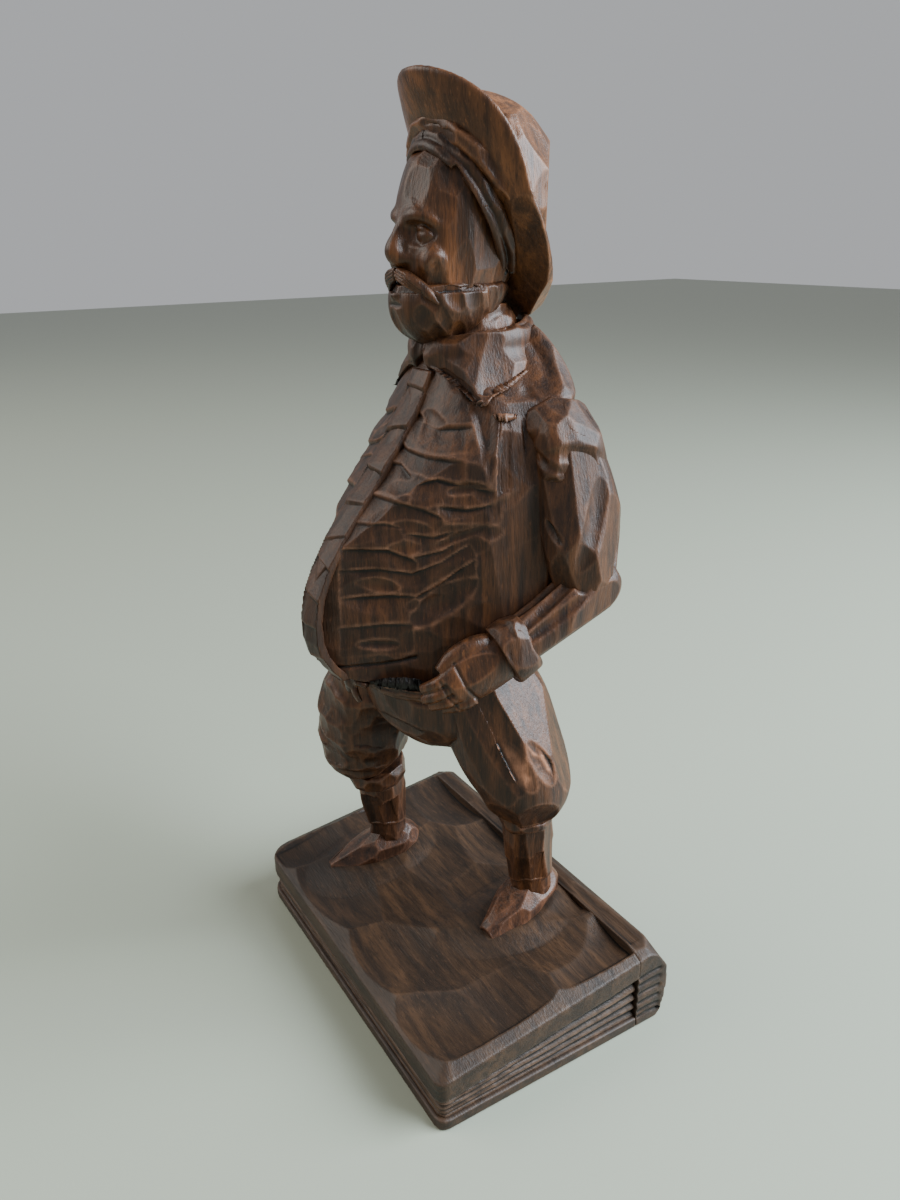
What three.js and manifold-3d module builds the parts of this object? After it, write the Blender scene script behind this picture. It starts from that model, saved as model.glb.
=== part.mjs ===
// A carved wooden figurine: a stout man in a brimmed hat, doublet and breeches, standing on a closed book.
// Millimetres, +Z up. The origin is on the table, under the middle of the book.
// The figure faces -Y, and its left hand is on the +X side.
import * as THREE from "three";
import { mergeVertices } from "three/addons/utils/BufferGeometryUtils.js";
import Module from "manifold-3d";

const wasm = await Module();
wasm.setup();

// ---- driving dimensions ----
const GAP = 0.3; // clearance between neighbouring pieces
const MID = -4.5; // the figure's middle plane stands a little to its right of the book's middle

const BOOK = { width: 116, depth: 75, front: 16, back: 25 }; // heights at the fore-edge and at the spine
const COVER = { lower: 3.2, upper: 6.5, bevel: 5.5, rise: 2.4, pocket: 1.3 };
const SPINE_DEPTH = 9;
const PAGE_GROOVE = 1.2; // depth of the grooves that part the leaves
const SLOPE = Math.atan((BOOK.back - BOOK.front) / BOOK.depth);

const HAT = {
  centre: [MID, 12.2, 222],
  tilt: THREE.MathUtils.degToRad(60), // the brim's plane against the ground
  rim: [24.5, 32.5], // half width and half length of the brim's outline
  thick: 3.4,
  sweep: [1.8, 1.2], // how far the sides and the lower end bend back
};
const BUCKLE = { size: [9, 3.4, 6], at: [MID + 1, -25.9, 101] };
const COLLAR = {
  thick: 1.8,
  // one flap's outline seen from the front: sideways from the middle plane, and height
  front: [[0.4, 186.5], [2.8, 184.6], [9.2, 182.4], [16, 179.2], [21.5, 175.8], [28, 180], [28, 190], [0.4, 190]],
  // and seen from the side: depth and height, rising to the nape
  side: [[-30, 170], [1, 170], [4, 177.5], [24, 185.2], [40, 187], [40, 190], [-30, 190]],
};
// The strip's edges are measured sideways from the middle plane.
const PLACKET = { from: -2, to: 5.2, bottom: 104.5, top: 182, thick: 1.2 };

const DOWEL = { radius: 2.2, sides: 12 };

const WOOD = { colour: 0x4a2f20, roughness: 0.45 };
const DARK_WOOD = { colour: 0x3a2a20, roughness: 0.55 };
const PALE_WOOD = { colour: 0x9c7a54, roughness: 0.7 };

// ---- solids ----
const group = new THREE.Group();
const solids = new Map();

function solid(geometry) {
  const bare = geometry.clone();
  bare.deleteAttribute("normal");
  bare.deleteAttribute("uv");
  const merged = mergeVertices(bare, 1e-4);
  return new wasm.Manifold(
    new wasm.Mesh({
      numProp: 3,
      vertProperties: merged.attributes.position.array,
      triVerts: new Uint32Array(merged.index.array),
    }),
  );
}

// The largest body of a solid, without the slivers that a cut can leave.
function largest(shape) {
  return shape.decompose().reduce((a, b) => (a.volume() > b.volume() ? a : b));
}

function add(name, shape, wood = WOOD) {
  const kept = largest(shape);
  solids.set(name, kept);
  const mesh = kept.getMesh();
  const geometry = new THREE.BufferGeometry()
    .setAttribute("position", new THREE.BufferAttribute(mesh.vertProperties, 3))
    .setIndex(new THREE.BufferAttribute(mesh.triVerts, 1));
  const made = new THREE.Mesh(
    geometry,
    new THREE.MeshStandardMaterial({ color: wood.colour, roughness: wood.roughness }),
  );
  made.name = name;
  group.add(made);
  return kept;
}

const cut = (shape, ...tools) => tools.reduce((left, tool) => left.subtract(tool), shape);
const join = (first, ...others) => others.reduce((all, next) => all.add(next), first);
const mirrored = (shape) => shape.translate([-MID, 0, 0]).mirror([1, 0, 0]).translate([MID, 0, 0]);

// A body drawn through oval sections. Each section is { at, r, square }: its centre, its half widths along the
// side and the depth, and 0 for an oval up to 1 for nearly a box. Level sections stay horizontal; the others
// turn square to the line through the centres. With squareBack only the half away from the face is boxy.
// grow makes the same body that much fatter all over.
function loft(sections, { sides = 16, steps = 2, level = false, squareBack = false, grow = 0, side = [1, 0, 0] } = {}) {
  const centres = new THREE.CatmullRomCurve3(sections.map((s) => new THREE.Vector3(...s.at)), false, "catmullrom", 0.5);
  const sizes = new THREE.CatmullRomCurve3(
    sections.map((s) => new THREE.Vector3(s.r[0], s.r[1], s.square ?? 0)),
    false,
    "catmullrom",
    0.5,
  );
  const rows = (sections.length - 1) * steps;
  const tube = new THREE.CylinderGeometry(1, 1, 1, sides, rows);
  const position = tube.attributes.position;
  const across = new THREE.Vector3(...side);
  for (let i = 0; i < position.count; i++) {
    const t = THREE.MathUtils.clamp(position.getY(i) + 0.5, 0, 1);
    const reach = Math.hypot(position.getX(i), position.getZ(i));
    const angle = Math.atan2(position.getZ(i), position.getX(i));
    const size = sizes.getPoint(t);
    const along = level ? new THREE.Vector3(0, 0, 1) : centres.getTangent(t);
    const u = across.clone().addScaledVector(along, -across.dot(along)).normalize();
    const v = new THREE.Vector3().crossVectors(u, along);
    const power = squareBack && position.getZ(i) > 0 ? 1 : 1 - 0.5 * size.z;
    const lean = (x) => Math.sign(x) * Math.abs(x) ** power;
    const end = t < 1e-6 ? -grow : t > 1 - 1e-6 ? grow : 0;
    const p = centres
      .getPoint(t)
      .addScaledVector(u, reach * (size.x + grow) * lean(Math.cos(angle)))
      .addScaledVector(v, reach * (size.y + grow) * lean(Math.sin(angle)))
      .addScaledVector(along, end);
    position.setXYZ(i, p.x, p.y, p.z);
  }
  return solid(tube);
}

// Both sizes of one loft: the piece itself, and the room its neighbours leave for it.
function pair(sections, options) {
  return { piece: loft(sections, options), room: loft(sections, { ...options, grow: GAP }) };
}

function dowel(from, to, grow = 0) {
  const a = new THREE.Vector3(...from);
  const b = new THREE.Vector3(...to);
  const peg = new THREE.CylinderGeometry(
    DOWEL.radius + grow,
    DOWEL.radius + grow,
    a.distanceTo(b) + 2 * grow,
    DOWEL.sides,
  );
  peg.applyQuaternion(
    new THREE.Quaternion().setFromUnitVectors(new THREE.Vector3(0, 1, 0), b.clone().sub(a).normalize()),
  );
  const middle = a.add(b).multiplyScalar(0.5);
  peg.translate(middle.x, middle.y, middle.z);
  return solid(peg);
}

// An outline in Y and Z drawn out along X, centred on the book's middle.
function drawnAlongX(points, width) {
  const shape = new THREE.Shape(points.map(([y, z]) => new THREE.Vector2(y, z)));
  const made = new THREE.ExtrudeGeometry(shape, { depth: width, bevelEnabled: false });
  // The extrusion's own x, y and z become the frame's Y, Z and X.
  made.applyMatrix4(new THREE.Matrix4().set(0, 0, 1, -width / 2, 1, 0, 0, 0, 0, 1, 0, 0, 0, 0, 0, 1));
  return solid(made);
}

// An outline in X and Z drawn out along Y, from one depth to another.
function drawnAlongY(points, from, to) {
  const shape = new THREE.Shape(points.map(([x, z]) => new THREE.Vector2(x, z)));
  const made = new THREE.ExtrudeGeometry(shape, { depth: to - from, bevelEnabled: false });
  made.applyMatrix4(new THREE.Matrix4().set(1, 0, 0, 0, 0, 0, -1, to, 0, 1, 0, 0, 0, 0, 0, 1));
  return solid(made);
}

// ---- the book ----
const half = { x: BOOK.width / 2, y: BOOK.depth / 2 };
const hinge = half.y - SPINE_DEPTH; // where the boards meet the spine
const topAt = (y) => BOOK.front + Math.tan(SLOPE) * (y + half.y);

const lowerCover = drawnAlongX(
  [[-half.y, 0], [hinge, 0], [hinge, COVER.lower], [-half.y, COVER.lower]],
  BOOK.width,
);

// The leaves: three grooves run round the fore-edge and both ends, spread out towards the thicker spine.
function pageBlock() {
  const low = COVER.lower + GAP;
  const edge = 1; // the boards stand this far past the leaves
  const groove = [0.3, 0.62];
  const high = (y) => topAt(y) - COVER.upper - GAP;
  const block = drawnAlongX(
    [[-half.y + edge, low], [hinge, low], [hinge, high(hinge)], [-half.y + edge, high(-half.y + edge)]],
    BOOK.width - 2 * edge,
  );
  const notches = groove.flatMap((share) => {
    const z = (y) => low + share * (high(y) - low);
    const front = -half.y + edge;
    const along = drawnAlongX(
      [[front - 1, z(front) - 1], [front + PAGE_GROOVE, z(front)], [front - 1, z(front) + 1]],
      BOOK.width,
    );
    const ends = [-1, 1].map((way) => {
      const face = way * (half.x - edge);
      const wedge = new THREE.CylinderGeometry(1, 1, 1, 4, 1);
      const tip = PAGE_GROOVE;
      const p = wedge.attributes.position;
      for (let i = 0; i < p.count; i++) {
        const y = p.getY(i) > 0 ? hinge + 1 : front - 1;
        const x = face + p.getX(i) * tip;
        p.setXYZ(i, x, y, z(y) - p.getZ(i) * tip * 0.8);
      }
      return solid(wedge);
    });
    return [along, ...ends];
  });
  return cut(block, ...notches);
}

// The upper board carries the carved ground: a bevelled rim on three sides and a shallow field inside it.
function upperCover() {
  const { bevel, rise, upper, pocket } = COVER;
  const front = -half.y;
  const under = (y) => topAt(y) - upper;
  const slab = drawnAlongX(
    [
      [front, under(front)],
      [hinge, under(hinge)],
      [hinge, topAt(hinge) + rise],
      [front + bevel, topAt(front + bevel) + rise],
      [front, topAt(front)],
    ],
    BOOK.width,
  );
  const rise3 = rise / bevel;
  const past = 3;
  const bevelTools = [-1, 1].map((way) => {
    const outer = way * (half.x + past);
    const inner = way * (half.x - bevel);
    const tool = drawnAlongX([[front - past, 0], [hinge + past, 0], [hinge + past, 20], [front - past, 20]], bevel + past);
    const skew = new wasm.Mesh(tool.getMesh());
    const v = skew.vertProperties;
    for (let i = 0; i < v.length; i += 3) {
      const isOuter = v[i] * way > 0;
      v[i] = isOuter ? outer : inner;
      const y = v[i + 1];
      const cutHeight = topAt(y) + (isOuter ? -past * rise3 : rise);
      v[i + 2] = v[i + 2] > 10 ? 60 : cutHeight;
    }
    return new wasm.Manifold(skew);
  });
  const lip = bevel + 1.5;
  const field = drawnAlongX(
    [
      [front + lip, topAt(front + lip) + rise - pocket],
      [hinge + past, topAt(hinge + past) + rise - pocket],
      [hinge + past, 60],
      [front + lip, 60],
    ],
    BOOK.width - 2 * lip,
  );
  return cut(slab, ...bevelTools, field);
}
const fieldAt = (y) => topAt(y) + COVER.rise - COVER.pocket;

// The spine is a rounded back: an elliptical arc from one board to the other.
function spine() {
  const radius = (topAt(hinge) + COVER.rise) / 2;
  const arc = new THREE.EllipseCurve(hinge + GAP, radius, SPINE_DEPTH - GAP, radius, -Math.PI / 2, Math.PI / 2);
  return drawnAlongX(arc.getPoints(12).map((p) => [p.x, p.y]), BOOK.width);
}

// ---- the figure's clothes and limbs, as sections ----
const jacket = [
  { at: [MID, -4, 103.8], r: [28, 25] },
  { at: [MID, -6, 108], r: [30, 27.4], square: 0.1 },
  { at: [MID, -7.5, 116], r: [32, 29.5], square: 0.3 },
  { at: [MID, -7, 128], r: [32.5, 29], square: 0.6 },
  { at: [MID, -3, 141], r: [31, 26.4], square: 0.9 },
  { at: [MID, 3, 154], r: [29, 22.6], square: 1 },
  { at: [MID, 8, 166], r: [27.5, 18.8], square: 0.9 },
  { at: [MID, 11, 176], r: [24, 15.5], square: 0.6 },
  { at: [MID, 12.5, 183], r: [17.5, 13.5], square: 0.3 },
  { at: [MID, 13, 188], r: [13, 11.5] },
];
const seat = [
  { at: [MID + 1, 4, 78], r: [13, 13] },
  { at: [MID + 1, 2, 86], r: [24, 19] },
  { at: [MID, 1, 94], r: [25.5, 20.5] },
  { at: [MID, -0.5, 98.8], r: [24.5, 20] },
];
const legSections = {
  right: {
    breeches: [
      { at: [-27.8, -9.5, 58], r: [8.5, 9] },
      { at: [-28, -10.5, 61.5], r: [12.5, 13] },
      { at: [-28, -12, 69], r: [14.6, 15] },
      { at: [-26, -12, 80], r: [14.4, 15.2] },
      { at: [-20, -9, 93], r: [13.5, 14.5] },
      { at: [-17, -7, 99], r: [13, 14] },
    ],
    band: [
      { at: [-28.4, -8.3, 51.5], r: [8.2, 8.6] },
      { at: [-28, -8.8, 54.6], r: [9.4, 9.8] },
      { at: [-27.8, -9.3, 58], r: [8.8, 9.2] },
    ],
    stocking: [
      { at: [-30, -4.5, 24], r: [5.8, 6.8] },
      { at: [-30, -4.5, 31], r: [5.8, 6.4] },
      { at: [-29.5, -5.5, 41], r: [7.2, 7.8] },
      { at: [-29, -7.5, 51.5], r: [7.8, 8.2] },
    ],
    shoe: [
      { at: [-28.5, 2, 22.5], r: [4.5, 5] },
      { at: [-29.5, -3, 24.5], r: [6.6, 7.2] },
      { at: [-31.5, -12, 21.5], r: [6.8, 5.4] },
      { at: [-33.2, -19.5, 19.3], r: [5.8, 3.6] },
      { at: [-34.2, -24.5, 18.6], r: [2.6, 1.9] },
    ],
  },
  left: {
    breeches: [
      { at: [23.4, 12.5, 63], r: [8.4, 8.8] },
      { at: [24.6, 12, 66.5], r: [11.6, 12], square: 0.25 },
      { at: [24, 11.5, 72.5], r: [12.8, 13.4], square: 0.3 },
      { at: [19, 9, 82], r: [13.8, 14.6], square: 0.15 },
      { at: [12.5, 6, 92], r: [14.4, 15.4] },
      { at: [9, 3.5, 98.5], r: [14, 15] },
    ],
    band: [
      { at: [22.2, 14, 56.5], r: [7.8, 8] },
      { at: [22.8, 13.4, 59.6], r: [8.8, 9] },
      { at: [23.4, 12.8, 63], r: [8.4, 8.6] },
    ],
    stocking: [
      { at: [19.5, 18, 26], r: [6, 7] },
      { at: [19.8, 17.8, 32], r: [6.2, 6.8] },
      { at: [20.8, 16.4, 44], r: [7.6, 7.8] },
      { at: [22, 14.4, 57], r: [7.4, 7.6] },
    ],
    shoe: [
      { at: [18.4, 25.5, 25.5], r: [4.8, 5] },
      { at: [19, 20, 27.5], r: [7, 7.6] },
      { at: [21, 11.5, 24.5], r: [7.2, 5.8] },
      { at: [22.8, 4, 22], r: [6.4, 4] },
      { at: [24, -1, 21], r: [3, 2] },
    ],
  },
};
const belt = [
  { at: [MID, -1, 99.2], r: [25.6, 21.6] },
  { at: [MID, -1.6, 101], r: [27, 23.2] },
  { at: [MID, -2.4, 103.4], r: [27.4, 23.8] },
];
const leftArm = {
  cap: [
    { at: [19.5, 16.5, 169], r: [7.5, 5.5] },
    { at: [24, 19, 169.5], r: [9, 7.5] },
    { at: [28, 21, 166], r: [10, 7.5] },
    { at: [29.5, 21.5, 159], r: [9.5, 6.5] },
  ],
  upper: [
    { at: [27, 20, 166], r: [7, 9] },
    { at: [29.5, 21.5, 158], r: [8, 10.5] },
    { at: [31.5, 23, 146], r: [8.6, 11.5] },
    { at: [33, 23.8, 135], r: [8.2, 10.6] },
    { at: [33.5, 24, 127.5], r: [6.5, 7.5] },
  ],
  lower: [
    { at: [33.5, 29, 131.5], r: [6.2, 6] },
    { at: [33.4, 22, 127.5], r: [7.6, 7.8] },
    { at: [32, 13, 121.5], r: [7, 7.6] },
    { at: [30.6, 5, 116.8], r: [6.6, 7.4] },
  ],
  cuff: [
    { at: [30.8, 5.6, 117.2], r: [7.6, 8.6] },
    { at: [30.2, 2.6, 115.6], r: [8, 9] },
    { at: [29.6, 0.2, 114.4], r: [7.4, 8.4] },
  ],
  palm: [
    { at: [29.6, 0.6, 114.4], r: [5, 6.4] },
    { at: [28.4, -4.5, 112], r: [5, 7.2] },
    { at: [26.6, -11, 108.2], r: [4.8, 7] },
    { at: [24.2, -16.5, 104.2], r: [4.2, 5.8] },
    { at: [22.8, -19, 102.4], r: [3, 4] },
  ],
  thumb: [
    { at: [27.6, -4, 116], r: [2.6, 2.6] },
    { at: [26.6, -9, 116.2], r: [2.5, 2.5] },
    { at: [25, -13.5, 113], r: [2.2, 2.2] },
    { at: [24.4, -15, 109.6], r: [1.6, 1.6] },
  ],
};

const head = [
  { at: [MID, 3.5, 192], r: [6.5, 7] },
  { at: [MID, 5.5, 196], r: [10, 11.5] },
  { at: [MID, 8, 203], r: [12.6, 14.8] },
  { at: [MID, 9.5, 212], r: [13.4, 16.6] },
  { at: [MID, 10.5, 222], r: [13.4, 17] },
  { at: [MID, 12, 231], r: [12, 15.4] },
  { at: [MID, 14, 238], r: [8, 10] },
];
const nose = [
  { at: [MID, -6.2, 219.5], r: [1.6, 1.6] },
  { at: [MID, -7.6, 215], r: [2.2, 2.2] },
  { at: [MID, -8.8, 210.6], r: [3, 2.8] },
  { at: [MID, -7.4, 207.8], r: [2.4, 2] },
];
const neck = [
  { at: [MID, 12.5, 186], r: [11, 10.5] },
  { at: [MID, 12, 191], r: [10.6, 10.4] },
  { at: [MID, 11.5, 198], r: [10.4, 10.4] },
];
const beard = [
  { at: [MID, 3.5, 189.5], r: [6, 6.6] },
  { at: [MID, 4.5, 194], r: [11.6, 13.2] },
  { at: [MID, 6.5, 200], r: [14, 15.8] },
  { at: [MID, 7.5, 203.4], r: [13.9, 16.1] },
];
const moustache = [
  { at: [MID - 9.5, -2.2, 199.5], r: [1, 1] },
  { at: [MID - 5.5, -6.2, 203.2], r: [2, 1.9] },
  { at: [MID, -7.6, 205.2], r: [1.7, 1.6] },
  { at: [MID + 5.5, -6.2, 203.2], r: [2, 1.9] },
  { at: [MID + 9.5, -2.2, 199.5], r: [1, 1] },
];

// ---- the hat: a tilted brim round the head, and a dome behind it ----
// The brim's own frame: side is +X, forward climbs the brim to its front edge, back points out of the crown.
const hatAxes = {
  side: new THREE.Vector3(1, 0, 0),
  forward: new THREE.Vector3(0, -Math.cos(HAT.tilt), Math.sin(HAT.tilt)),
  back: new THREE.Vector3(0, Math.sin(HAT.tilt), Math.cos(HAT.tilt)),
};
const inHat = (side, forward, back) =>
  new THREE.Vector3(...HAT.centre)
    .addScaledVector(hatAxes.side, side)
    .addScaledVector(hatAxes.forward, forward)
    .addScaledVector(hatAxes.back, back)
    .toArray();

// The brim is a plate turned from a profile, stretched to its oval, and bent so that its sides and its
// lower end sweep back. The face stands in front of it and the crown behind it.
function brim(grow = 0) {
  const [wide, long] = HAT.rim;
  const t = HAT.thick / 2 + grow;
  const profile = [[0, -t], [0.5, -t], [1, -t * 0.6], [1.01 + grow / wide, 0], [1, t * 0.6], [0.5, t], [0, t]];
  const ring = new THREE.LatheGeometry(profile.map(([r, h]) => new THREE.Vector2(r, h)), 28);
  const p = ring.attributes.position;
  for (let i = 0; i < p.count; i++) {
    const [x, y, z] = [p.getX(i), p.getY(i), p.getZ(i)];
    const sweep = HAT.sweep[0] * x ** 2 + HAT.sweep[1] * Math.max(0, -z) ** 2;
    p.setXYZ(i, ...inHat(x * wide, z * long, y + sweep));
  }
  return solid(ring);
}

const crownSections = [
  { at: inHat(0, 0, 0), r: [19, 22] },
  { at: inHat(0, 0, 6), r: [18.6, 21.6] },
  { at: inHat(0, 0, 12), r: [16.5, 19.4] },
  { at: inHat(0, 0, 17), r: [11, 13.4] },
  { at: inHat(0, 0, 18.6), r: [5, 6] },
];
const hairSections = [
  { at: inHat(0, -2, -6.5), r: [14.4, 18.6] },
  { at: inHat(0, -2, -4), r: [15.6, 19.8] },
  { at: inHat(0, -2, 1), r: [15.8, 20] },
];

// ---- cutting the pieces to each other and adding them ----
const torsoOptions = { sides: 24, level: true, squareBack: true };
const torso = pair(jacket, torsoOptions);
const skull = pair(head, { sides: 20, level: true });
const throat = pair(neck, { sides: 16, level: true });
const hips = pair(seat, { sides: 20, level: true });
const girdle = pair(belt, { sides: 24, level: true });

const neckPeg = [[MID, 12, 178], [MID, 12, 204]];
const hatPeg = [inHat(0, 0, -12), inHat(0, 0, 9)];
const shoulderPeg = [[14, 16, 166], [29, 21.5, 160]];
const anklePegs = { left: [[19.6, 18, 12], [19.8, 17.8, 38]], right: [[-30, -4.6, 9], [-29.8, -5, 38]] };
const mirroredPeg = (peg) => peg.map(([x, y, z]) => [2 * MID - x, y, z]);
const pegs = {
  hat: hatPeg,
  neck: neckPeg,
  shoulder_left: shoulderPeg,
  shoulder_right: mirroredPeg(shoulderPeg),
  ankle_left: anklePegs.left,
  ankle_right: anklePegs.right,
};
const pegRooms = Object.values(pegs).map((peg) => dowel(...peg, GAP));
const drilled = (shape) => cut(shape, ...pegRooms);
for (const [name, peg] of Object.entries(pegs)) {
  add(`dowel_${name}`, dowel(...peg), PALE_WOOD);
}

const ground = upperCover();
const groundRoom = join(ground.translate([0, 0, GAP]), ground);
add("book_lower_cover", lowerCover, DARK_WOOD);
add("book_page_block", drilled(pageBlock()), DARK_WOOD);
add("book_upper_cover", drilled(ground), DARK_WOOD);
add("book_spine", spine(), DARK_WOOD);

for (const [name, leg] of Object.entries(legSections)) {
  const breeches = pair(leg.breeches, { sides: 18 });
  const band = pair(leg.band, { sides: 16 });
  const stocking = pair(leg.stocking, { sides: 16 });
  const shoe = pair(leg.shoe, { sides: 14 });
  add(`shoe_${name}`, drilled(cut(shoe.piece, groundRoom, stocking.room)));
  add(`stocking_${name}`, drilled(cut(stocking.piece, band.room, breeches.room)));
  add(`knee_band_${name}`, cut(band.piece, breeches.room));
  add(`breeches_leg_${name}`, cut(breeches.piece, hips.room, torso.room, girdle.room));
}
add("breeches_seat", cut(hips.piece, girdle.room));
add("belt", cut(girdle.piece, torso.room));

const buckle = new THREE.BoxGeometry(...BUCKLE.size);
buckle.translate(...BUCKLE.at);
add("belt_buckle", cut(solid(buckle), torso.room, girdle.room), DARK_WOOD);

// Each arm is a shoulder roll, two sleeves, a cuff and a hand. The right arm mirrors the left.
const arm = {
  cap: pair(leftArm.cap, { sides: 16, side: [0, 1, 0] }),
  upper: pair(leftArm.upper, { sides: 16 }),
  lower: pair(leftArm.lower, { sides: 16 }),
  cuff: pair(leftArm.cuff, { sides: 16 }),
  palm: pair(leftArm.palm, { sides: 14 }),
  thumb: pair(leftArm.thumb, { sides: 8 }),
};
const thigh = pair(legSections.left.breeches, { sides: 18 });
const armPieces = {
  shoulder_roll: cut(arm.cap.piece, arm.upper.room, torso.room),
  upper_sleeve: cut(arm.upper.piece, torso.room),
  lower_sleeve: cut(arm.lower.piece, arm.upper.room, torso.room),
  cuff: cut(arm.cuff.piece, arm.lower.room, torso.room),
  hand: cut(join(arm.palm.piece, arm.thumb.piece), arm.cuff.room, torso.room, thigh.room, girdle.room),
};
for (const [name, piece] of Object.entries(armPieces)) {
  add(`${name}_left`, drilled(piece));
  add(`${name}_right`, drilled(mirrored(piece)));
}

// The collar is the jacket made fatter and cut to two pointed flaps that meet at the throat.
const jaw = pair(beard, { sides: 20, level: true });
const collarOuter = loft(jacket, { ...torsoOptions, grow: GAP + COLLAR.thick });
const flap = drawnAlongY(COLLAR.front.map(([x, z]) => [MID + x, z]), -30, 60).intersect(drawnAlongX(COLLAR.side, 90));
const collar = cut(flap.intersect(collarOuter), torso.room, throat.room, jaw.room, skull.room);
const shoulders = [arm.cap.room, arm.upper.room];
add("collar_left", cut(collar, ...shoulders));
add("collar_right", cut(mirrored(collar), ...shoulders.map(mirrored)));

// A raised strip runs from the throat down over the belly.
const { from, to, bottom, top } = PLACKET;
const strip = drawnAlongY([[MID + from, bottom], [MID + to, bottom], [MID + to, top], [MID + from, top]], -60, 6);
const stripOuter = loft(jacket, { ...torsoOptions, grow: GAP + PLACKET.thick });
add("jacket_placket", cut(strip.intersect(stripOuter), torso.room, girdle.room));

add("jacket", drilled(torso.piece));
add("neck", drilled(cut(throat.piece, torso.room, skull.room)));

const lip = pair(moustache, { sides: 10, side: [0, 0, 1] });
const bridge = loft(nose, { sides: 10 });
const bridgeRoom = loft(nose, { sides: 10, grow: GAP });
const face = join(skull.piece, bridge);
const faceRoom = join(skull.room, bridgeRoom);
const ring = { piece: brim(), room: brim(GAP) };
const dome = pair(crownSections, { sides: 20 });
const locks = pair(hairSections, { sides: 20 });
add("beard", cut(jaw.piece, faceRoom, throat.room, torso.room, dome.room, ring.room));
add("moustache", cut(lip.piece, faceRoom, jaw.room));

add("head", drilled(cut(face, ring.room)));
const lock = largest(cut(locks.piece, faceRoom, ring.room, throat.room, torso.room, jaw.room));
const leftHalf = new THREE.BoxGeometry(60, 80, 80);
leftHalf.translate(MID + 30 + GAP / 2, 10, 220);
const leftLock = lock.intersect(solid(leftHalf));
add("hair_left", leftLock);
add("hair_right", mirrored(leftLock));
add("hat_brim", drilled(cut(ring.piece, throat.room, torso.room)));
add("hat_crown", drilled(cut(dome.piece, ring.room, throat.room, torso.room)));

export default group;
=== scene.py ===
"""The looks of a carved wooden figurine: a stout man in a brimmed hat and breeches on a closed book.

Each piece starts as a copy of its CAD solid or as forms lofted through listed sections, is rounded off, and
is then cut with knife facets and gouge strokes, the way the real figure was carved. Shapes are in millimetres
and are turned to metres at the end.
"""

import math

import bmesh
import bpy
import numpy as np
from mathutils import Matrix, Vector


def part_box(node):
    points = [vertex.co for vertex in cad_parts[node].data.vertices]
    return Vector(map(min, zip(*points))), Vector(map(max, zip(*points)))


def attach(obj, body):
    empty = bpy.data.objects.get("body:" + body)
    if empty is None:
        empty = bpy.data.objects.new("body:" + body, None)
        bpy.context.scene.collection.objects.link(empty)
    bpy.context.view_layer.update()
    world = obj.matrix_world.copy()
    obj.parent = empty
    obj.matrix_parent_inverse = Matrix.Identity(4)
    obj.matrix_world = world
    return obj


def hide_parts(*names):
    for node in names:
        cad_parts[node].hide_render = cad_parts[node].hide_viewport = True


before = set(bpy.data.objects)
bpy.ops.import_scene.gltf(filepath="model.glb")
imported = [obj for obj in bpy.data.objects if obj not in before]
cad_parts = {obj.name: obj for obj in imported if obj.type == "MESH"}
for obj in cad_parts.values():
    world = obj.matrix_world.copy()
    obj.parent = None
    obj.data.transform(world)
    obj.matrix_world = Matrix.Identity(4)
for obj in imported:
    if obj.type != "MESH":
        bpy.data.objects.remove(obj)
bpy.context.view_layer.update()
MM = 0.001
MIDDLE = -4.5  # the figure's middle plane, sideways from the book's middle
GAP = 0.3  # the clearance between the CAD solids, which the carved pieces close
SIDES = {"left": 1, "right": -1}

rng = np.random.default_rng(11)


# ---------------------------------------------------------------- solids to start from
def unit(vector):
    vector = np.array(vector, float)
    return vector / np.linalg.norm(vector)


def flipped(points, side):
    """Left stays as it is; right is mirrored in the figure's middle plane."""
    points = np.array(points, float)
    if side < 0:
        points[..., 0] = 2 * MIDDLE - points[..., 0]
    return points


def corners(node, side=1):
    """The lowest and highest corner of a CAD node, in millimetres."""
    both = flipped(np.array([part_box(node)[0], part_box(node)[1]]) / MM, side)
    return both.min(axis=0), both.max(axis=0)


def cad_solid(node, side=1, swell=GAP):
    """A closed copy of a CAD node's mesh, a little fatter all over."""
    work = bmesh.new()
    work.from_mesh(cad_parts[node].data)
    bmesh.ops.remove_doubles(work, verts=work.verts, dist=1e-6)
    bmesh.ops.recalc_face_normals(work, faces=work.faces)
    points = np.array([v.co for v in work.verts]) / MM
    points += np.array([v.normal for v in work.verts]) * swell
    turn = slice(None, None, side)
    faces = [[v.index for v in f.verts][turn] for f in work.faces]
    work.free()
    return flipped(points, side), faces


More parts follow.
